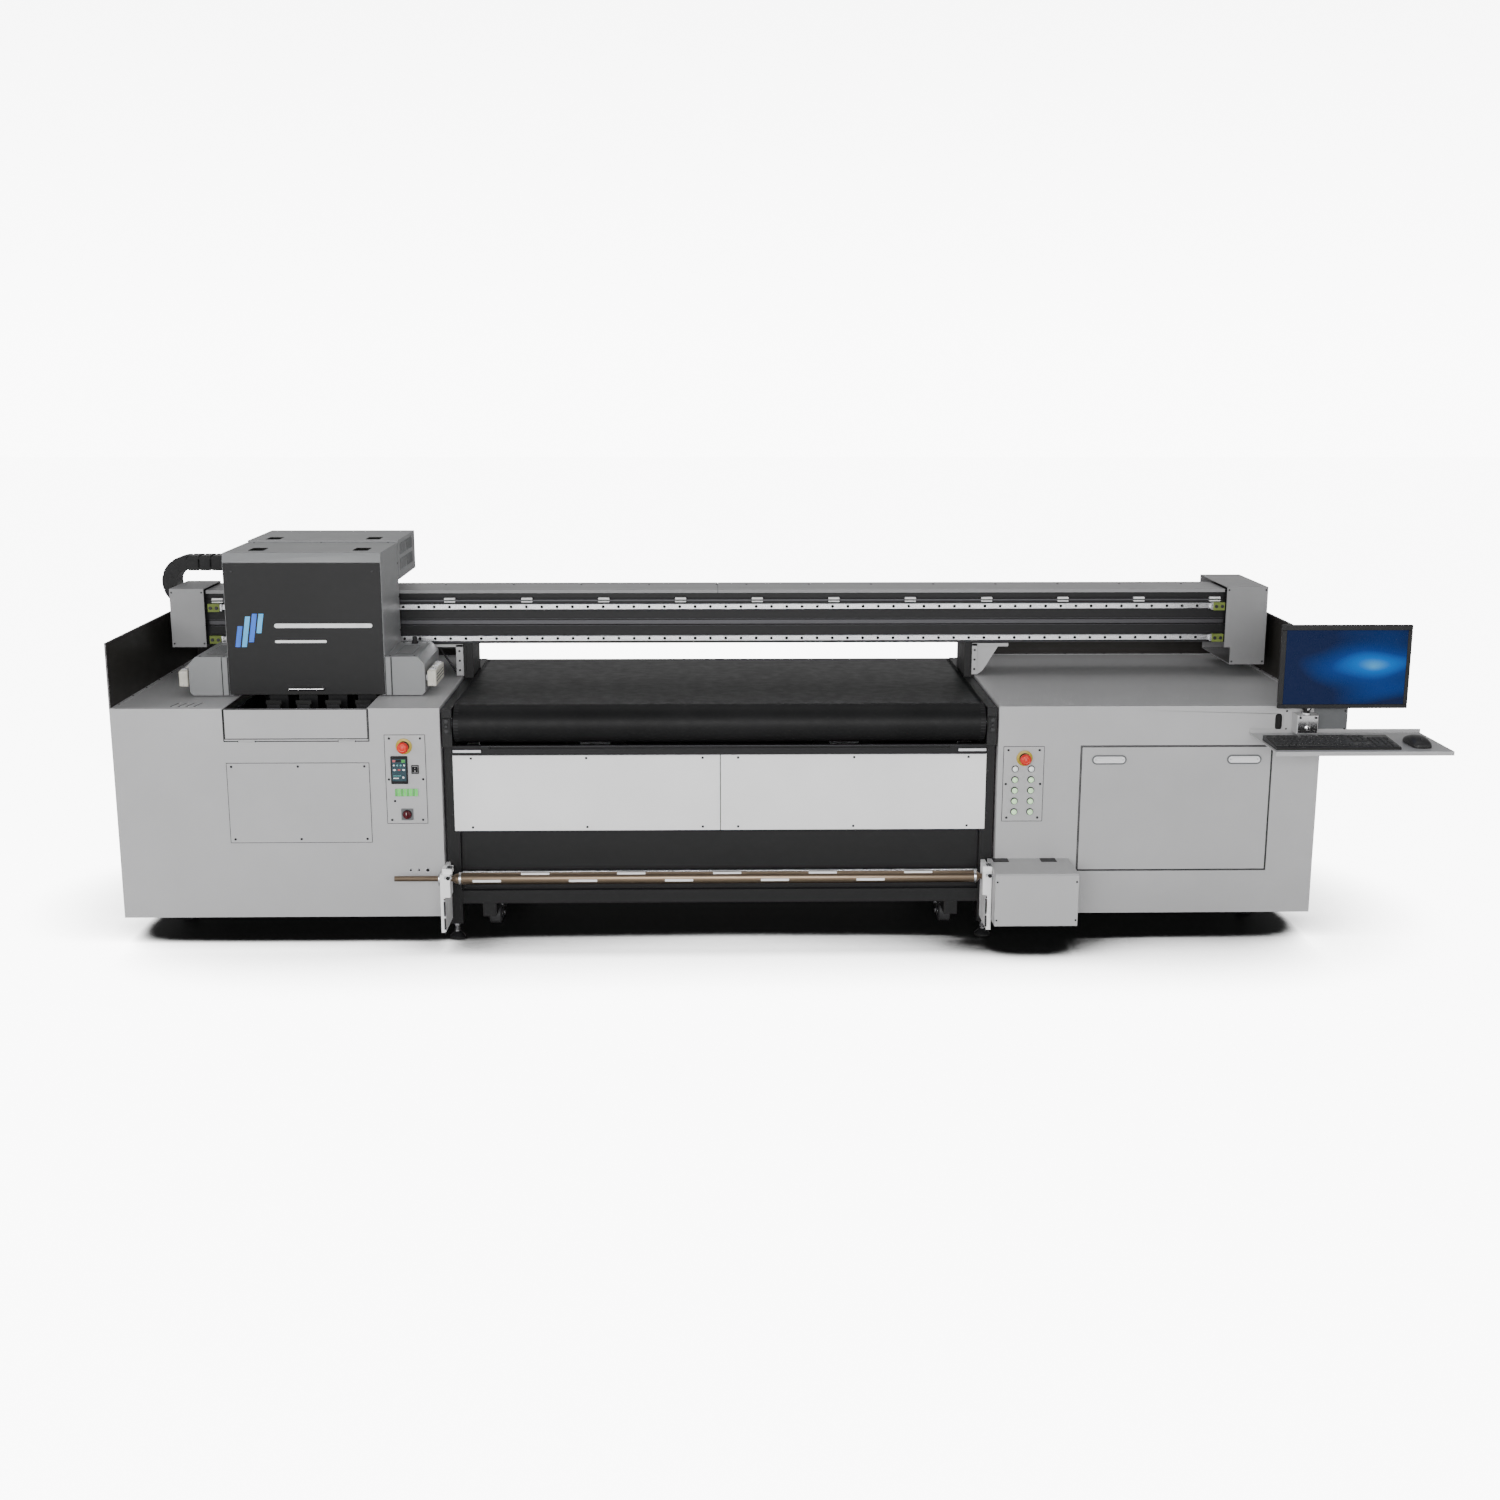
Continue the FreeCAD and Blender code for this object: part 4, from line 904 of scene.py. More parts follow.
def cabinet_details():
    """Flap hinges, top slots, small holes, flush handles, slot grommet and seams."""
    hinges = Piece("flap_hinges", "machine", GREY, DARK_STEEL)
    for x in (-1740, -1380):
        hinges.turned("x", (x, -0.6, 764.2), [(0, 0), (0, 2.6), (60, 2.6), (60, 0)], 16)
        ends = [(x + end, -0.6, 764.2) for end in (-2.5, 59.5)]
        hinges.discs("x", ends, 3.2, 3, 0.5, 16, 1)
    hinges.done()
    slots = Piece("cabinet_top_slots", "machine", BLACK, GREY)
    # Each slot is a black strip beside a raised grey lip: the black is painted shade of the
    # opening.
    for i in range(4):
        x = -1990 + 28 * i
        for start, width, height, slot in ((x, 9, 0.8, 0), (x + 9, 2.5, 2.4, 1)):
            outline = [(start, 42), (start + width, 42), (start + 13 + width, 110),
                       (start + 13, 110)]
            slots.pressed("z", TOP_Z - 0.4, height, outline, slot)
    slots.done()
    ports = Piece("front_ports", "machine", BLACK_PLASTIC, STEEL)
    # A black disc inside each ring: painted shade of the hole.
    for x, radius in ((-1138, 4.5), (-1108, 4.5), (-1076, 7)):
        ports.tube("y", (x, 0, 279), radius + 2.2, radius - 0.4, -2.2, 24, 1)
        ports.disc("y", (x, -0.4, 279), radius, -0.6, 0.1, 24)
    ports.done()
    handles = Piece("ink_door_handles", "ink_door", GREY_GLOSS, STEEL, SHELF_DARK)
    handle_x, handle_z = (1421, 1917), 686
    for middle in handle_x:
        outer, inner = rounded_bar(63.5, 17.5, 12), rounded_bar(58, 12, 12)
        deep = rounded_bar(52, 8, 12)
        rings = [(outer, -2.2), (outer, -4.2), (inner, -5), (inner, -3.4), (deep, -2.3)]
        points = [(middle + a, y, handle_z + b) for ring, y in rings for a, b in ring]
        count = len(outer)
        faces = bands(count, 5) + [tuple(range(4 * count, 5 * count))]
        handles.add(points, faces[:2 * count], 2)
        handles.add(points, faces[2 * count:])
        handles.pill("y", (middle, handle_z), 44, 7, -4.6, 1.8)
        ends = [(middle + x, -3.4, handle_z) for x in (-50, 50)]
        handles.discs("y", ends, 3, -1.2, 0.4, 16, 1)
    handles.done()
    # Painted shade of the gaps round the ink door, the front flap and the three cover plates.
    gap_shade_border("ink_door_gap_shade", "ink_door", (1318.6, 266.6), (2018.4, 735.4), -0.9, 3.2)
    gap_shade_border("front_flap_gap_shade", "front_flap", (-1789.6, 771.6), (-1272.4, 883.6), -0.9, 3.2)
    for name, (x, z, length, height, _) in zip(("service", "left", "right"), COVER_PLATES):
        gap_shade_border(name + "_plate_gap_shade", "machine", (x, z), (x + length, z + height),
               PLATE_Y - 0.4, 1.8)
    liner = Piece("ink_door_liner", "ink_door", DARK, STEEL)
    for z in (274, 712):
        liner.box((1326, 3, z), (2011, 7, z + 16), 1)
    for x in (1326, 1668, 1995):
        liner.box((x, 3, 288), (x + 16, 7, 714), 1)
    for x in handle_x:
        liner.box((x - 40, 3, 668), (x + 40, 22, 704), 2)
        liner.box((x - 12, 10, 700), (x + 12, 16, 726), 1, 1)
    liner.done()
    # Dark strips behind the gaps round the ink door and the front flap: painted shade inside the
    # gaps.
    gap_shade_backing = Piece("door_gap_shade_backing", "machine", RUBBER)
    for low, high in (((1312, 6, 260), (1326, 9, 742)), ((2011, 6, 260), (2025, 9, 742)),
                      ((1312, 6, 728), (2025, 9, 744)), ((1312, 6, 258), (2025, 9, 274)),
                      ((-1796, 6, 758), (-1266, 9, 772)), ((-1796, 6, 758), (-1782, 9, 880)),
                      ((-1280, 6, 758), (-1266, 9, 880))):
        gap_shade_backing.box(low, high, 1)
    gap_shade_backing.done()
    grommet = Piece("cable_slot_grommet", "machine", RUBBER)
    outer, inner = [[(b + 2035, a + 826) for a, b in rounded_bar(half, half - 18)]
                    for half in (30.5, 27.5)]
    count = len(outer)
    points = [(u, y, v) for y, ring in ((0.5, outer), (-1.4, outer), (-1.4, inner), (5, inner))
              for u, v in ring]
    grommet.add(points, bands(count, 4))
    grommet.add([(u, 5, v) for u, v in inner], [tuple(range(count))])
    grommet.done()


def back_details():
    """Rear service doors with vents, latches and power sockets; guard wall flanges."""
    doors = Piece("rear_service_doors", "machine", GREY, BLACK_PLASTIC, STEEL, DARK)
    back = BACK_Y
    for side in (-1, 1):
        for x in (1110, 1640):
            near, far = sorted((side * x, side * (x + 480)))
            doors.box((near, back, 190), (far, back + 1.6, 800), 0.7)
            # Dark strips below raised grey lips: painted shade of the vent openings.
            for i in range(11):
                z = 300 + 16 * i
                doors.box((near + 110, back + 1.2, z), (far - 110, back + 1.9, z + 5), 0.2, 3)
                doors.box((near + 110, back + 1.2, z + 5), (far - 110, back + 4.2, z + 7.5), 0.6)
            latch_x = near + 26 if side > 0 else far - 26
            for z in (250, 740):
                doors.disc("y", (latch_x, back + 1.6, z), 15, 3, 0.8, 28, 1)
                doors.box((latch_x - 2.5, back + 4, z - 11), (latch_x + 2.5, back + 8, z + 11),
                          0.8, 2)
    for low in (-1330, -1250):
        doors.box((low - 20, back, 132), (low + 40, back + 5, 172), 1.5, 1)
        for i in range(3):
            doors.box((low - 6 + 12 * i, back + 4.6, 150), (low - 3 + 12 * i, back + 5.6, 160),
                      0.3, 2)
    for z in (340, 356):
        doors.turned("x", (1120, back + 8, z), [(0, 0), (0, 5), (60, 5), (60, 0)], 16, 2)
    doors.done()
    flanges = Piece("guard_flanges", "machine", GREY, DARK_STEEL)
    for side in (-1, 1):
        flanges.box((side * 2176, 4, TOP_Z), (side * 2192, 1146, 887), 0.5)
        flanges.box((side * 1062, 1131, TOP_Z), (side * 2190, 1147, 887), 0.5)
        for i in range(7):
            flanges.disc("z", (side * 2184, 80 + 165 * i, 887), 3.4, 1.8, 0.5, 16, 1)
            flanges.disc("z", (side * (1140 + 165 * i), 1139, 887), 3.4, 1.8, 0.5, 16, 1)
        flanges.box((side * 2190.6, 2, 888), (side * 2192.2, 3.4, 1122), 0.3)
    flanges.done()
    rims = Piece("guard_rims", "machine", GUARD)
    for side in (-1, 1):
        rims.box((side * 2184, 1, 1121.6), (side * 2192.4, 1147, 1123.9), 0.6)
        rims.box((side * 1062, 1139, 1121.6), (side * 2191, 1147.4, 1123.9), 0.6)
    rims.done()


def stop_button(name, body, x, z):
    """Yellow collar and the raised turn marks on the mushroom."""
    collar = Piece(name + "_collar", "machine", YELLOW, BLACK_PLASTIC)
    collar.turned("y", (x, PLATE_Y, z), [(0, 20), (0, 29), (-2, 29.5), (-3.4, 28.4), (-4.2, 24),
                                         (-5, 20), (-5, 16)], 48)
    collar.turned("y", (x, -4.5, z), [(0, 20), (-4, 19.4), (-8, 16), (-8, 9), (-1, 9)], 36, 1)
    collar.done()
    ring = Piece(name + "_ring", body, RED_LIGHT)
    ring.turned("y", (x, -42.2, z), [(0, 9.5), (-0.9, 10), (-1.2, 11.5), (0.4, 12.5),
                                     (0.8, 12.5)], 40)
    for turn in range(3):
        ring.turn = turned_at((x, 0, z), 120 * turn, "Y") @ Matrix.Translation((-x, 0, -z))
        ring.pressed("y", -42.1, 0.9, [(x - 4, z + 13.6), (x + 2, z + 13.2), (x + 4.4, z + 14.6),
                                       (x + 1, z + 15.6), (x - 3, z + 15)])
    ring.turn = Matrix.Identity(4)
    ring.done()


BUTTON_ROWS = [653 - 40.3 * row for row in range(5)]
BUTTON_COLUMNS = (1077, 1136)


def controls():
    """The two control plates: controller, display, switches, pilot lamps and button rings."""
    base = Piece("instrument_bodies", "machine", BLACK_PLASTIC, BEAM_EDGE, GREY, SHELF_DARK)
    base.box((-1195, -9.5, 606), (-1134, PLATE_Y, 709), 1.6)
    base.box((-1184, -4.5, 558), (-1099, PLATE_Y, 589), 0.8, 2)
    base.turned("y", (-1185, PLATE_Y, 541), [(0, 4), (-1.4, 4), (-2.4, 2.8), (-3, 0)], 20)
    base.box((-1164, -5, 469), (-1120, PLATE_Y, 513), 1.4, 3)
    base.tube("y", (-1142, -5, 491.5), 17, 14.4, -4, 32)
    left, right, low, high, width = -1121, -1094, 643, 675, 3
    for x0, x1, z0, z1 in ((left, left + width, low, high), (right - width, right, low, high),
                           (left, right, low, low + width), (left, right, high - width, high)):
        base.box((x0, -5.5, z0), (x1, PLATE_Y, z1), 0.6)
    ring = [(0, 10.2), (0, 13), (-2.5, 13), (-5.2, 11.6), (-6, 10.4), (-1, 10.2)]
    for z in BUTTON_ROWS:
        for x in BUTTON_COLUMNS:
            base.turned("y", (x, PLATE_Y, z), ring, 36, 1)
    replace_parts(base.done(), "instruments")

    screen = Piece("controller_screen", "machine", SCREEN_TEAL, TILE_RED, TILE_GREEN, TILE_TEAL,
                   TILE_WHITE, BLACK_PLASTIC)
    screen.box((-1190, -10.2, 617), (-1139, -9.2, 699), 0.3)
    y = -10.6
    screen.box((-1187, y, 688), (-1177, y + 0.6, 696), 0.3, 1)
    screen.box((-1175, y, 688), (-1157, y + 0.6, 696), 0.3, 5)
    screen.box((-1155, y, 686), (-1142, y + 0.6, 697), 0.3, 2)
    for i in range(4):
        screen.disc("y", (-1183 + 12.5 * i, y + 0.6, 676), 3.2, -0.6, 0.2, 18, 3 if i % 3 else 4)
    for i in range(3):
        screen.pill("y", (-1181 + 16.5 * i, 659), 5, 3, y, 0.6, 0, 4 if i != 1 else 1)
    screen.box((-1186, y, 626), (-1166, y + 0.6, 630), 0.3, 4)
    screen.box((-1186, y, 636), (-1158, y + 0.6, 638), 0.3, 3)
    screen.disc("y", (-1150, y + 0.6, 631), 4, -0.6, 0.2, 18, 4)
    screen.done()
    bars = Piece("bar_display", "machine", BAR_GREEN, BAR_DIM)
    for i in range(8):
        x = -1183.2 + 10.45 * i
        bars.box((x, -5.4, 559.5), (x + 9.4, -4.2, 587.5), 0.4, 0 if i % 2 else 1)
    bars.done()
    lamps = Piece("pilot_lamps", "machine", PILOT)
    for x in BUTTON_COLUMNS:
        lamps.turned("y", (x, -3, BUTTON_ROWS[0]), [(0, 10), (-4, 10), (-6.4, 7.5), (-7.6, 4),
                                                    (-8, 0)], 32)
    lamps.done()
    buttons = [(x, -10.9, z) for z in BUTTON_ROWS[1:] for x in BUTTON_COLUMNS]
    for number, place in enumerate(buttons, start=1):
        dome = Piece("button_dome_%d" % number, "push_button_%d" % number, LENS)
        dome.turned("y", place, [(0, 8.6), (-0.8, 7.6), (-1.5, 4.5), (-1.8, 0)], 28)
        dome.done()
    knob = Piece("main_switch_knob", "main_switch", MAROON, TILE_WHITE)
    knob.turned("y", (-1142, -9.2, 491.5), [(0, 0), (0, 15), (-3, 15), (-6, 13.6), (-7, 11),
                                            (-7, 0)], 36)
    knob.box((-1146.5, -27.6, 478.5), (-1137.5, -15, 504.5), 2)
    knob.box((-1142.6, -27.95, 494), (-1141.4, -27.4, 503.5), 0.2, 1)
    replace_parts(knob.done(), "main_switch")
    mark = Piece("rocker_marks", "rocker_switch", TILE_WHITE)
    mark.turn = turned_at((-1107.5, -7, 648.5), 6, "X")
    mark.box((-0.6, -0.35, 14), (0.6, 0.2, 18), 0.1)
    mark.turned("y", (0, 0.2, 5), [(0, 2.2), (-0.5, 2.2), (-0.5, 1.6), (0, 1.6)], 20)
    mark.turn = Matrix.Identity(4)
    mark.done()
    stop_button("estop_left", "estop_left", -1145, 745)
    stop_button("estop_right", "estop_right", 1110, 693)


def service_screws():
    """Dark dome screws with a round socket on the cover plates and the white panels."""
    screws = Piece("dome_screws", "machine", DARK_STEEL, BLACK)
    places = []
    inset_x, inset_z, inset_middle = 18, 14, 12
    for x, z, length, height, count in COVER_PLATES:
        pitch = (length - 2 * inset_x) / (count - 1)
        places += [(x + inset_x + i * pitch, PLATE_Y, z + row)
                   for i in range(count) for row in (inset_z, height - inset_z)]
        if count == 2:
            places += [(x + along, PLATE_Y, z + height / 2)
                       for along in (inset_middle, length - inset_middle)]
    places += [(side * x, 33, z) for side in (-1, 1) for x in (65, 490, 910) for z in (431, 691)]
    for x, y, z in places:
        screws.turned("y", (x, y, z), [(0, 4.6), (-0.8, 4.4), (-1.7, 3.2), (-2, 1.9), (-2, 1.6),
                                       (-1, 1.5), (-1, 0)], 18)
    for side in (-1, 1):
        for x in (1040, 1604, 2170):
            for z in (130, 490, 855):
                screws.turned("y", (side * x, BACK_Y, z),
                              [(0, 5), (0.8, 4.8), (1.8, 3.4), (2, 0)], 18)
    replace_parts(screws.done(), "panel_screws")


# ---------------------------------------------------------------------------------------------
# Operator station
# ---------------------------------------------------------------------------------------------
def keyboard():
    """Low wedge keyboard with six rows of tapered keys in the usual blocks."""
    case = Piece("keyboard", "machine", KEYBOARD, KEYCAP, TILE_GREEN)
    tilt = math.degrees(math.atan2(11, 165))
    case.pressed("x", 1940, 440, [(-130, TRAY_TOP), (-130, 803), (-133, 804.6), (-292, 794),
                                  (-295, 791), (-295, TRAY_TOP)])
    case.turn = turned_at((1940, -295, 792.4), tilt, "X")
    unit, first, gap = 19.05, 5.5, 1.6

    def run(start, count, width=1):
        """Keys side by side, in key widths from the left."""
        return [(start + width * i, width) for i in range(count)]

    middle, pad = run(15.25, 3), run(18.5, 3)
    rows = [
        run(0, 1) + run(2, 4) + run(6.5, 4) + run(11, 4) + middle,
        run(0, 13) + run(13, 1, 2) + middle + run(18.5, 4),
        run(0, 1, 1.5) + run(1.5, 12) + run(13.5, 1, 1.5) + middle + pad,
        run(0, 1, 1.75) + run(1.75, 11) + run(12.75, 1, 2.25) + pad,
        run(0, 1, 2.25) + run(2.25, 10) + run(12.25, 1, 2.75) + run(16.25, 1) + pad,
        run(0, 3, 1.25) + run(3.75, 1, 6.25) + run(10, 4, 1.25) + middle + run(18.5, 1, 2)
        + run(20.5, 1),
    ]
    for row, keys in enumerate(rows):
        y = 132 - 21 * row - (6 if row else 0)
        for start, width in keys:
            x = first + start * unit
            key_cap(case, x, x + width * unit - gap, y, y + 17.6, 4.6, 1)
    x = first + 21.5 * unit
    for y in (6.6, 48.6):
        key_cap(case, x, x + unit - gap, y, y + 38, 4.6, 1)
    for i in range(3):
        x = first + (19 + i) * unit
        case.box((x, 140, 0), (x + 6, 142, 1.0), 0.2, 2)
    case.turn = Matrix.Identity(4)
    for x in (1960, 2340):
        case.box((x, -290, 785.05), (x + 22, -280, 786), 0.3)
    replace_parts(case.done(), "keyboard_and_mouse")


def key_cap(piece, x0, x1, y0, y1, height, slot):
    """A key tapering upwards, its top a little higher at the far edge."""
    inset, points = 2.2, []
    for sides, near, far, near_z, far_z in ((0, 0, 0, 0.2, 0.2),
                                            (0.8, 0.8, 0.5, height - 0.6, height - 0.2),
                                            (1.4, 1.4, 1.0, height - 0.2, height + 0.3)):
        left, right = x0 + inset * sides, x1 - inset * sides
        front, back = y0 + inset * near, y1 - inset * far
        points += [(left, front, near_z), (right, front, near_z), (right, back, far_z),
                   (left, back, far_z)]
    piece.add(points, bands(4, 3) + [(8, 9, 10, 11)], slot)


def mouse():
    """Rounded mouse body with a wheel."""
    body = Piece("mouse", "machine", MOUSE, KEYCAP)
    stations = [(0.0, 0.62, 10), (0.04, 0.82, 16), (0.15, 0.96, 24), (0.35, 1.0, 31),
                (0.55, 0.97, 33), (0.75, 0.98, 29), (0.9, 0.9, 20), (0.97, 0.74, 12),
                (1.0, 0.5, 7)]
    points, count = [], 20
    centre, front, length, half = 2464, -282, 134, 37
    for t, width, height in stations:
        for i in range(count):
            turn = math.tau * i / count
            c, s = math.cos(turn), math.sin(turn)
            x = centre + half * width * math.copysign(abs(c) ** 0.75, c)
            z = TRAY_TOP + (height * max(s, 0) ** 0.62 + 3 if s >= 0 else 3 * (1 + s))
            points.append((x, front + length * t, z))
    last = len(stations) - 1
    ends = [tuple(range(count)), tuple(range(last * count, (last + 1) * count))]
    body.add(points, bands(count, len(stations)) + ends)
    body.turned("x", (2461, -250, 808.5), [(0, 0), (0, 10), (1, 11.4), (5, 11.4), (6, 10),
                                           (6, 0)], 28, 1)
    mesh = body.done(60)
    smooth = mesh.modifiers.new("smooth", "SUBSURF")
    smooth.levels = smooth.render_levels = 2
    return mesh


def monitor():
    """Flat monitor: bezel, lit screen, rounded back shell with vents and its tilt clamp."""
    piece = Piece("monitor_case", "monitor", BEZEL, SCREEN, BLACK_PLASTIC)
    left, right, low, high, front = 1996, 2464, 894, 1196, -100
    chin, brow, left_rim, right_rim = low + 15, high - 19, left + 18, right - 15
    for x0, z0, x1, z1 in ((left, low, right, chin), (left, brow, right, high),
                           (left, chin, left_rim, brow), (right_rim, chin, right, brow)):
        piece.box((x0, front, z0), (x1, front + 14, z1), 1.6)
    piece.box((left + 17, front + 3.4, low + 14), (right - 14, front + 6, high - 18), 0.1, 1)
    piece.box((left + 4, front + 12, low + 4), (right - 4, front + 26, high - 4), 6)
    piece.box((left + 90, front + 24, low + 40), (right - 90, -62, high - 60), 8, 2)
    for i in range(16):
        x = left + 110 + 16 * i
        piece.box((x, -63, high - 100), (x + 6, -61.4, high - 76), 0.4, 2)
    piece.box((left + 207, -62, 1037), (left + 261, -59, 1057), 1, 2)
    for x in (2203, 2247):
        piece.tube("x", (x, -48, 1047), 11, 5.2, 10, 28, 2)
        piece.box((x, -60, 1040), (x + 10, -54, 1054), 1, 2)
    piece.box((left + 20, front - 0.25, low + 5), (left + 26, front + 0.6, low + 7), 0.1, 2)
    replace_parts(piece.done(), "monitor")
    arm = Piece("monitor_arm_parts", "monitor_arm", BLACK_PLASTIC, CHROME)
    for z in (880, 1025, 1057):
        arm.tube("z", (2120, -46, z), 16, 12, 12, 28)
    arm.box((2128, -57.5, 1040), (2190, -38.5, 1054), 3)
    for z in (886, 1031):
        arm.disc("y", (2120, -61.5, z), 5, -6, 0.8, 20, 1)
    arm.done()
    plate = Piece("arm_wall_plate", "machine", CHROME, DARK_STEEL, SHELF_DARK)
    plate.box((2084, -69, 796), (2156, -66, 862), 1)
    for x in (2092, 2148):
        plate.discs("y", [(x, -69, z) for z in (804, 854)], 4.6, -3, 0.7, 20, 1)
    plate.turned("y", (2120, -69, 815), [(0, 0), (0, 9), (-3, 9), (-4, 6), (-9, 6), (-11, 4.5),
                                         (-11, 0)], 24)
    plate.tube("z", (2120, -46, 862), 20, 12.4, 8, 32)
    # A darker grey face on the wall plate: painted shade cast by the monitor.
    plate.box((2161, -6.2, 800), (2284, -4.8, 876), 0.5, 2)
    for x in (2062, 2276):
        plate.discs("y", [(x, -5, z) for z in (800, 866)], 3.6, -2, 0.6, 18, 1)
    plate.done()


# ---------------------------------------------------------------------------------------------
# Shafts, belt, feet and the inside
# ---------------------------------------------------------------------------------------------
def shaft_details():
    """Raised keys and end collars on the media shafts, chucks and latches on the brackets."""
    for body, y in (("takeup_shaft", TAKEUP_Y), ("feed_shaft", FEED_Y)):
        keys = Piece(body + "_keys", body, WHITE, STEEL)
        radius = 22.5
        for turn, first in ((100, -896), (-40, -722), (-140, -896), (30, -722)):
            keys.turn = turned_at((0, y, SHAFT_Z), turn, "X")
            for x in [first + 347 * i for i in range(5)]:
                if x + 102 < 920:
                    keys.box((x, -4.5, radius - 1.5), (x + 102, 4.5, radius + 2), 1)
        keys.turn = Matrix.Identity(4)
        for x in (-946, 920):
            keys.tube("x", (x, y, SHAFT_Z), 24.5, 22, 8, 36, 1)
        keys.done()
    chucks = Piece("shaft_chucks", "machine", WHITE, STEEL, DARK_STEEL, BLACK_PLASTIC)
    for y, right in ((TAKEUP_Y, 968), (FEED_Y, 998)):
        for x, sign in ((-1014, -1), (right, 1)):
            chucks.tube("x", (x, y, SHAFT_Z), 27, 10.6, sign * 5, 36, 1)
            chucks.discs("x", around("x", (x + sign * 5, y, SHAFT_Z), 19, 6),
                         2.6, sign * 2, 0.4, 12, 2)
    for x in (-1004, 958):
        chucks.pill("y", (x + 6, 176), 26, 3.4, -141.2, 1.4, 1, 2)
        chucks.pill("y", (x + 6, 116), 22, 3.4, -141.2, 1.4, 1, 2)
        chucks.discs("y", [(x + 6, -140, z) for z in (82, 148, 208)], 3.4, -2, 0.5, 16, 2)
    for x in (-992, 962):
        chucks.box((x - 3, -150, 286), (x + 25, -141, 297), 2, 1)
        chucks.disc("y", (x + 11, -150, 291), 7, -5, 1, 24, 3)
        chucks.box((x + 2, -132, 318), (x + 22, -96, 323), 1.4, 1)
        chucks.discs("z", [(x + 12, y, 322) for y in (-126, -102)], 3, 2.4, 0.5, 16, 2)
    chucks.done()
    box = Piece("drive_box_details", "machine", BLACK_PLASTIC, DARK_STEEL, GREY)
    for x in (1001, 1177):
        box.box((x, -48, 312.6), (x + 58, -4, 315), 1)
    for z in (141, 284):
        box.discs("y", [(x, -210, z) for x in (992, 1278)], 3.6, -2, 0.6, 18, 1)
    box.box((986, -211, 121), (1284, -209.6, 123), 0.5, 2)
    for z in [170 + 14 * i for i in range(8)]:
        box.box((1284.6, -160, z), (1285.8, -60, z + 5), 0.3)
    box.done()


def bed_details():
    """Belt edge guides, guide beam lips, silver end stops and the bright tension rod."""
    rod = Piece("tension_rod_sleeve", "machine", STEEL)
    rod.turned("x", (-956, 48, 256), [(0, 0), (0, 5), (1, 6.3), (1911, 6.3), (1912, 5),
                                      (1912, 0)], 28)
    rod.done()
    stops = Piece("guide_end_stops", "machine", ALUMINIUM, BEAM_EDGE)
    for side in (-1, 1):
        stops.box((side * 869, 6.6, 718), (side * 971, 9, 728.5), 0.8)
    for z in (739, 707):
        stops.box((-868, 12.6, z), (868, 14.2, z + 2.2), 0.4, 1)
    stops.done()
    edges = Piece("belt_edge_strips", "machine", BELT_EDGE)
    for side in (-1, 1):
        near, far = sorted((side * 948, side * 965.6))
        edges.box((near, ROLLER_Y[0], TOP_Z - 0.6), (far, ROLLER_Y[1], TOP_Z), 0.25)
        points, steps = [], 18
        for i in range(steps + 1):
            angle = math.radians(90 + 180 * i / steps)
            for x, radius in ((near, BELT_RADIUS - 0.4), (far, BELT_RADIUS - 0.4),
                              (far, BELT_RADIUS), (near, BELT_RADIUS)):
                points.append((x, ROLLER_Y[0] + radius * math.cos(angle),
                               ROLLER_Z + radius * math.sin(angle)))
        ends = [(0, 1, 2, 3), tuple(range(4 * steps, 4 * steps + 4))]
        edges.add(points, bands(4, steps + 1) + ends)
    edges.done()
    under = Piece("vacuum_blowers", "machine", DARK, STEEL, HOSE)
    for x in (-480, 480):
        under.box((x - 120, 420, 640), (x + 120, 660, 754), 6)
        under.turned("y", (x, 400, 690), [(0, 0), (0, 62), (8, 68), (20, 68), (20, 0)], 36, 1)
        under.turned("z", (x, 760, 600), [(0, 40), (150, 40), (154, 0)], 24, 2)
    under.done()


def feet_details():
    """Lock nuts, thread and pads of the levelling feet, and the caster plates' bolts."""
    nuts = Piece("foot_lock_nuts", "machine", STEEL, RUBBER)
    for x, y, top in FOOT_TOPS:
        nuts.hexagon("z", (x, y, top - 11), 24, 10)
        nuts.hexagon("z", (x, y, 25), 20, 7)
        profile = [(33, 8.4)]
        for i in range(int((top - 46) / 2)):
            profile += [(33.8 + 2 * i, 8.9), (34.8 + 2 * i, 8.2)]
        nuts.turned("z", (x, y, 0), profile, 20)
        nuts.turned("z", (x, y, 0.2), [(0, 0), (0, 29.4), (3.4, 29.8), (4.4, 29.2), (4.4, 0)],
                    40, 1)
    nuts.done()
    bolts = Piece("caster_bolts", "machine", STEEL, DARK)
    for x, y in CASTERS:
        for dx in (-38, 30):
            for dy in (-40, 40):
                bolts.hexagon("z", (x + dx, y + dy, 88.5), 10, 3.4)
        for side in (-1, 1):
            bolts.hexagon("x", (x + side * 30, y, WHEEL_Z), 15, side * 5)
        bolts.turned("z", (x, y, 80), [(0, 20), (0, 30), (6, 34), (11, 34), (11, 20), (0, 20)],
                     32, 1)
    bolts.done()


def wheel_hubs():
    """Hub rings and their studs on both sides of the caster wheels."""
    for number, (x, y) in enumerate(CASTERS, start=1):
        hub = Piece("wheel_hub_%d" % number, "caster_wheel_%d" % number, STEEL, RUBBER)
        for side in (-1, 1):
            hub.tube("x", (x + side * 23, y, WHEEL_Z), 12, 6.2, side * 1.6, 24)
            studs = around("x", (x + side * 22.6, y, WHEEL_Z), 19, 5)
            hub.discs("x", studs, 3.4, side * 1.0, 0.3, 14, 1)
        hub.done()


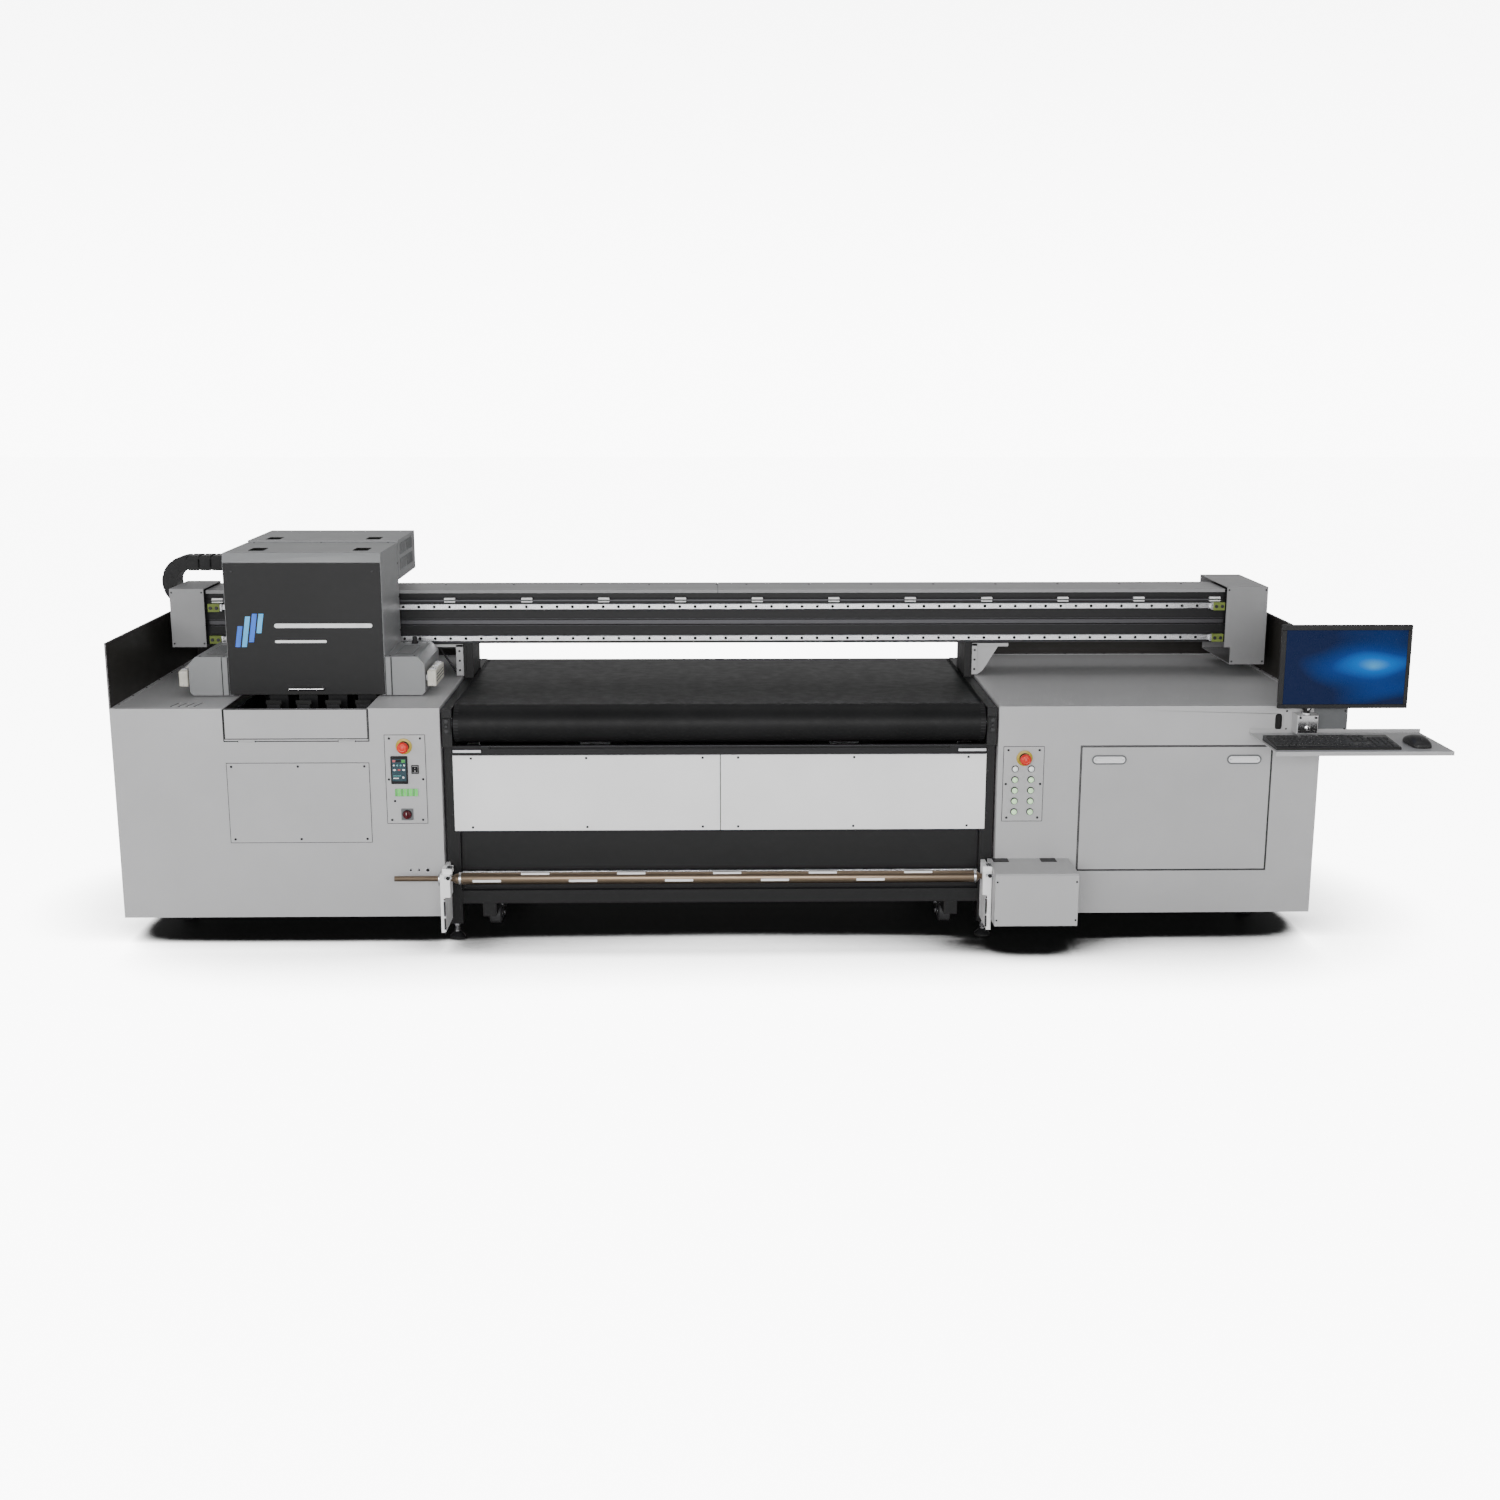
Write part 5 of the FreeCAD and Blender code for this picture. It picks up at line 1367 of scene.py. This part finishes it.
def inside_details():
    """Cap lips, wipers, drain hoses and trays of the capping station; ink caps and tubes."""
    caps = Piece("cap_lips", "machine", RUBBER, DARK_STEEL, HOSE)
    hose_y, hose_z = 60, 790
    for x in HEAD_X:
        for y in HEAD_Y:
            outer = rounded_rectangle(x + 3, x + 67, y + 4, y + 96, 8)
            inner = rounded_rectangle(x + 8, x + 62, y + 9, y + 91, 5)
            count = len(outer)
            points = [(u, v, z) for ring, z in ((outer, 884), (outer, 885.6), (inner, 885.6),
                                                (inner, 884.1)) for u, v in ring]
            caps.add(points, bands(count, 4))
        caps.box((x + 10, 200, 765), (x + 60, 212, 862), 1.5, 1)
        caps.box((x + 6, 204, 860), (x + 64, 207, 876), 0.6)
        caps.turned("y", (x + 35, hose_y, hose_z), [(0, 7), (140, 7)], 14, 2)
    caps.turned("x", (-1770, hose_y, hose_z), [(0, 0), (0, 10), (470, 10), (470, 0)], 18, 2)
    caps.box((-1776, 30, 764.5), (-1290, 120, 768), 1, 1)
    caps.done()
    inks = Piece("ink_fittings", "machine", BLACK_PLASTIC, INK_CYAN, INK_MAGENTA, INK_YELLOW,
                 INK_BLACK, HOSE)
    tank_top = 620
    for i, x in enumerate(TANK_X):
        inks.box((x + 18, 43.4, 350), (x + 122, 45.2, 560), 0.6, 1 + i)
        for k in range(10):
            inks.turned("z", (x + 70, 110, tank_top + 1.7 * k),
                        [(0, 22.4), (0.8, 23), (1.6, 22.4)], 28)
        inks.turned("z", (x + 70, 110, tank_top + 18),
                    [(0, 0), (0, 8), (14, 8), (16, 5), (60, 5), (60, 0)], 16, 5)
        inks.box((x + 40, 180, tank_top), (x + 100, 240, tank_top + 12), 3)
    inks.box((1340, 285, 700), (1990, 300, 712), 2)
    inks.done()


for build in (rails, beam_details, gantry_details, carriage_door, hood_details, lamp_details,
              ion_bars, heads, cable_chain, cabinet_details, back_details, controls,
              service_screws, keyboard, mouse, monitor, shaft_details, bed_details, feet_details,
              wheel_hubs, inside_details):
    build()


# ---------------------------------------------------------------------------------------------
# Camera, light and floor
# ---------------------------------------------------------------------------------------------
FLOOR_GLOW = 9.0                 # seen by the camera alone, as is the backdrop's
BACKDROP_GLOW = 9.0


def stage():
    """The camera, a bright studio backdrop and floor, and three soft lights."""
    camera_data = bpy.data.cameras.new("camera")
    camera_data.lens = 43.456
    camera_data.sensor_width = 36
    camera = bpy.data.objects.new("camera", camera_data)
    heading, downward, roll = -1.228, 12.531, 0.074
    camera.matrix_world = (turned_at(at(-30, -6425, 2155), heading, "Z")
                           @ turned_at((0, 0, 0), 90 - downward, "X")
                           @ turned_at((0, 0, 0), roll, "Z"))
    bpy.context.scene.collection.objects.link(camera)
    bpy.context.scene.camera = camera

    floor_mesh = bpy.data.meshes.new("floor")
    reach = 30
    corners = [(-reach, -reach, 0), (reach, -reach, 0), (reach, reach, 0), (-reach, reach, 0)]
    floor_mesh.from_pydata(corners, [], [(0, 1, 2, 3)])
    floor = bpy.data.objects.new("floor", floor_mesh)
    bpy.context.scene.collection.objects.link(floor)
    paint = Shader("floor_paint").set(Roughness=0.6)
    # Painted shadow: ambient occlusion darkens the floor's colour and its camera glow near and
    # under the machine.
    open_sky = paint.node("AmbientOcclusion", {"Distance": 1.2}, samples=64).outputs["AO"]
    cleared = paint.node("MapRange", {"Value": open_sky, "From Min": 0.4, "From Max": 0.82})
    shadow = paint.node("Math", {0: cleared.outputs[0], 1: 1.6}, operation="POWER").outputs[0]
    paint.colour(paint.ramp(shadow, 0.01, 0.94))
    seen = paint.tree.nodes.new("ShaderNodeLightPath").outputs["Is Camera Ray"]
    backdrop = paint.node("Math", {0: shadow, 1: seen}, operation="MULTIPLY").outputs[0]
    glow = paint.node("Math", {0: backdrop, 1: FLOOR_GLOW, 2: 0.0}, operation="MULTIPLY_ADD")
    paint.tree.links.new(glow.outputs[0], paint.surface.inputs["Emission Strength"])
    paint.set(Emission_Color=(1, 1, 1, 1), Specular_IOR_Level=0.1)
    floor_mesh.materials.append(paint.material)

    world = bpy.data.worlds.new("studio")
    bpy.context.scene.world = world
    world.use_nodes = True
    tree = world.node_tree
    background = tree.nodes["Background"]
    direction = tree.nodes.new("ShaderNodeTexCoord").outputs["Generated"]
    height = tree.nodes.new("ShaderNodeSeparateXYZ")
    fade = tree.nodes.new("ShaderNodeValToRGB")
    tree.links.new(direction, height.inputs[0])
    tree.links.new(height.outputs["Z"], fade.inputs["Fac"])
    tree.links.new(fade.outputs["Color"], background.inputs["Color"])
    fade.color_ramp.elements[0].color = (1, 1, 1, 1)
    fade.color_ramp.elements[1].position = 0.75
    fade.color_ramp.elements[1].color = (0.13, 0.13, 0.135, 1)
    seen = tree.nodes.new("ShaderNodeLightPath").outputs["Is Camera Ray"]
    strength = tree.nodes.new("ShaderNodeMath")
    strength.operation = "MULTIPLY_ADD"
    strength.inputs[1].default_value = BACKDROP_GLOW
    strength.inputs[2].default_value = 1.0
    tree.links.new(seen, strength.inputs[0])
    tree.links.new(strength.outputs[0], background.inputs["Strength"])

    def area(name, place, target, size, power):
        """A rectangular lamp at a place, facing a target."""
        light = bpy.data.lights.new(name, "AREA")
        light.shape = "RECTANGLE"
        light.size, light.size_y = size
        light.energy = power
        lamp = bpy.data.objects.new(name, light)
        lamp.location = place
        lamp.rotation_euler = (Vector(target) - Vector(place)).to_track_quat("-Z", "Y").to_euler()
        bpy.context.scene.collection.objects.link(lamp)

    area("front", (-0.6, -9.5, 2.6), (0, 0, 0.7), (8, 2.6), 700)
    area("left", (-7.5, -2.0, 3.2), (-0.5, 0, 0.9), (3, 3), 160)
    area("top", (0.5, 1.0, 6.5), (0, 0, 0.5), (7, 4), 90)


stage()
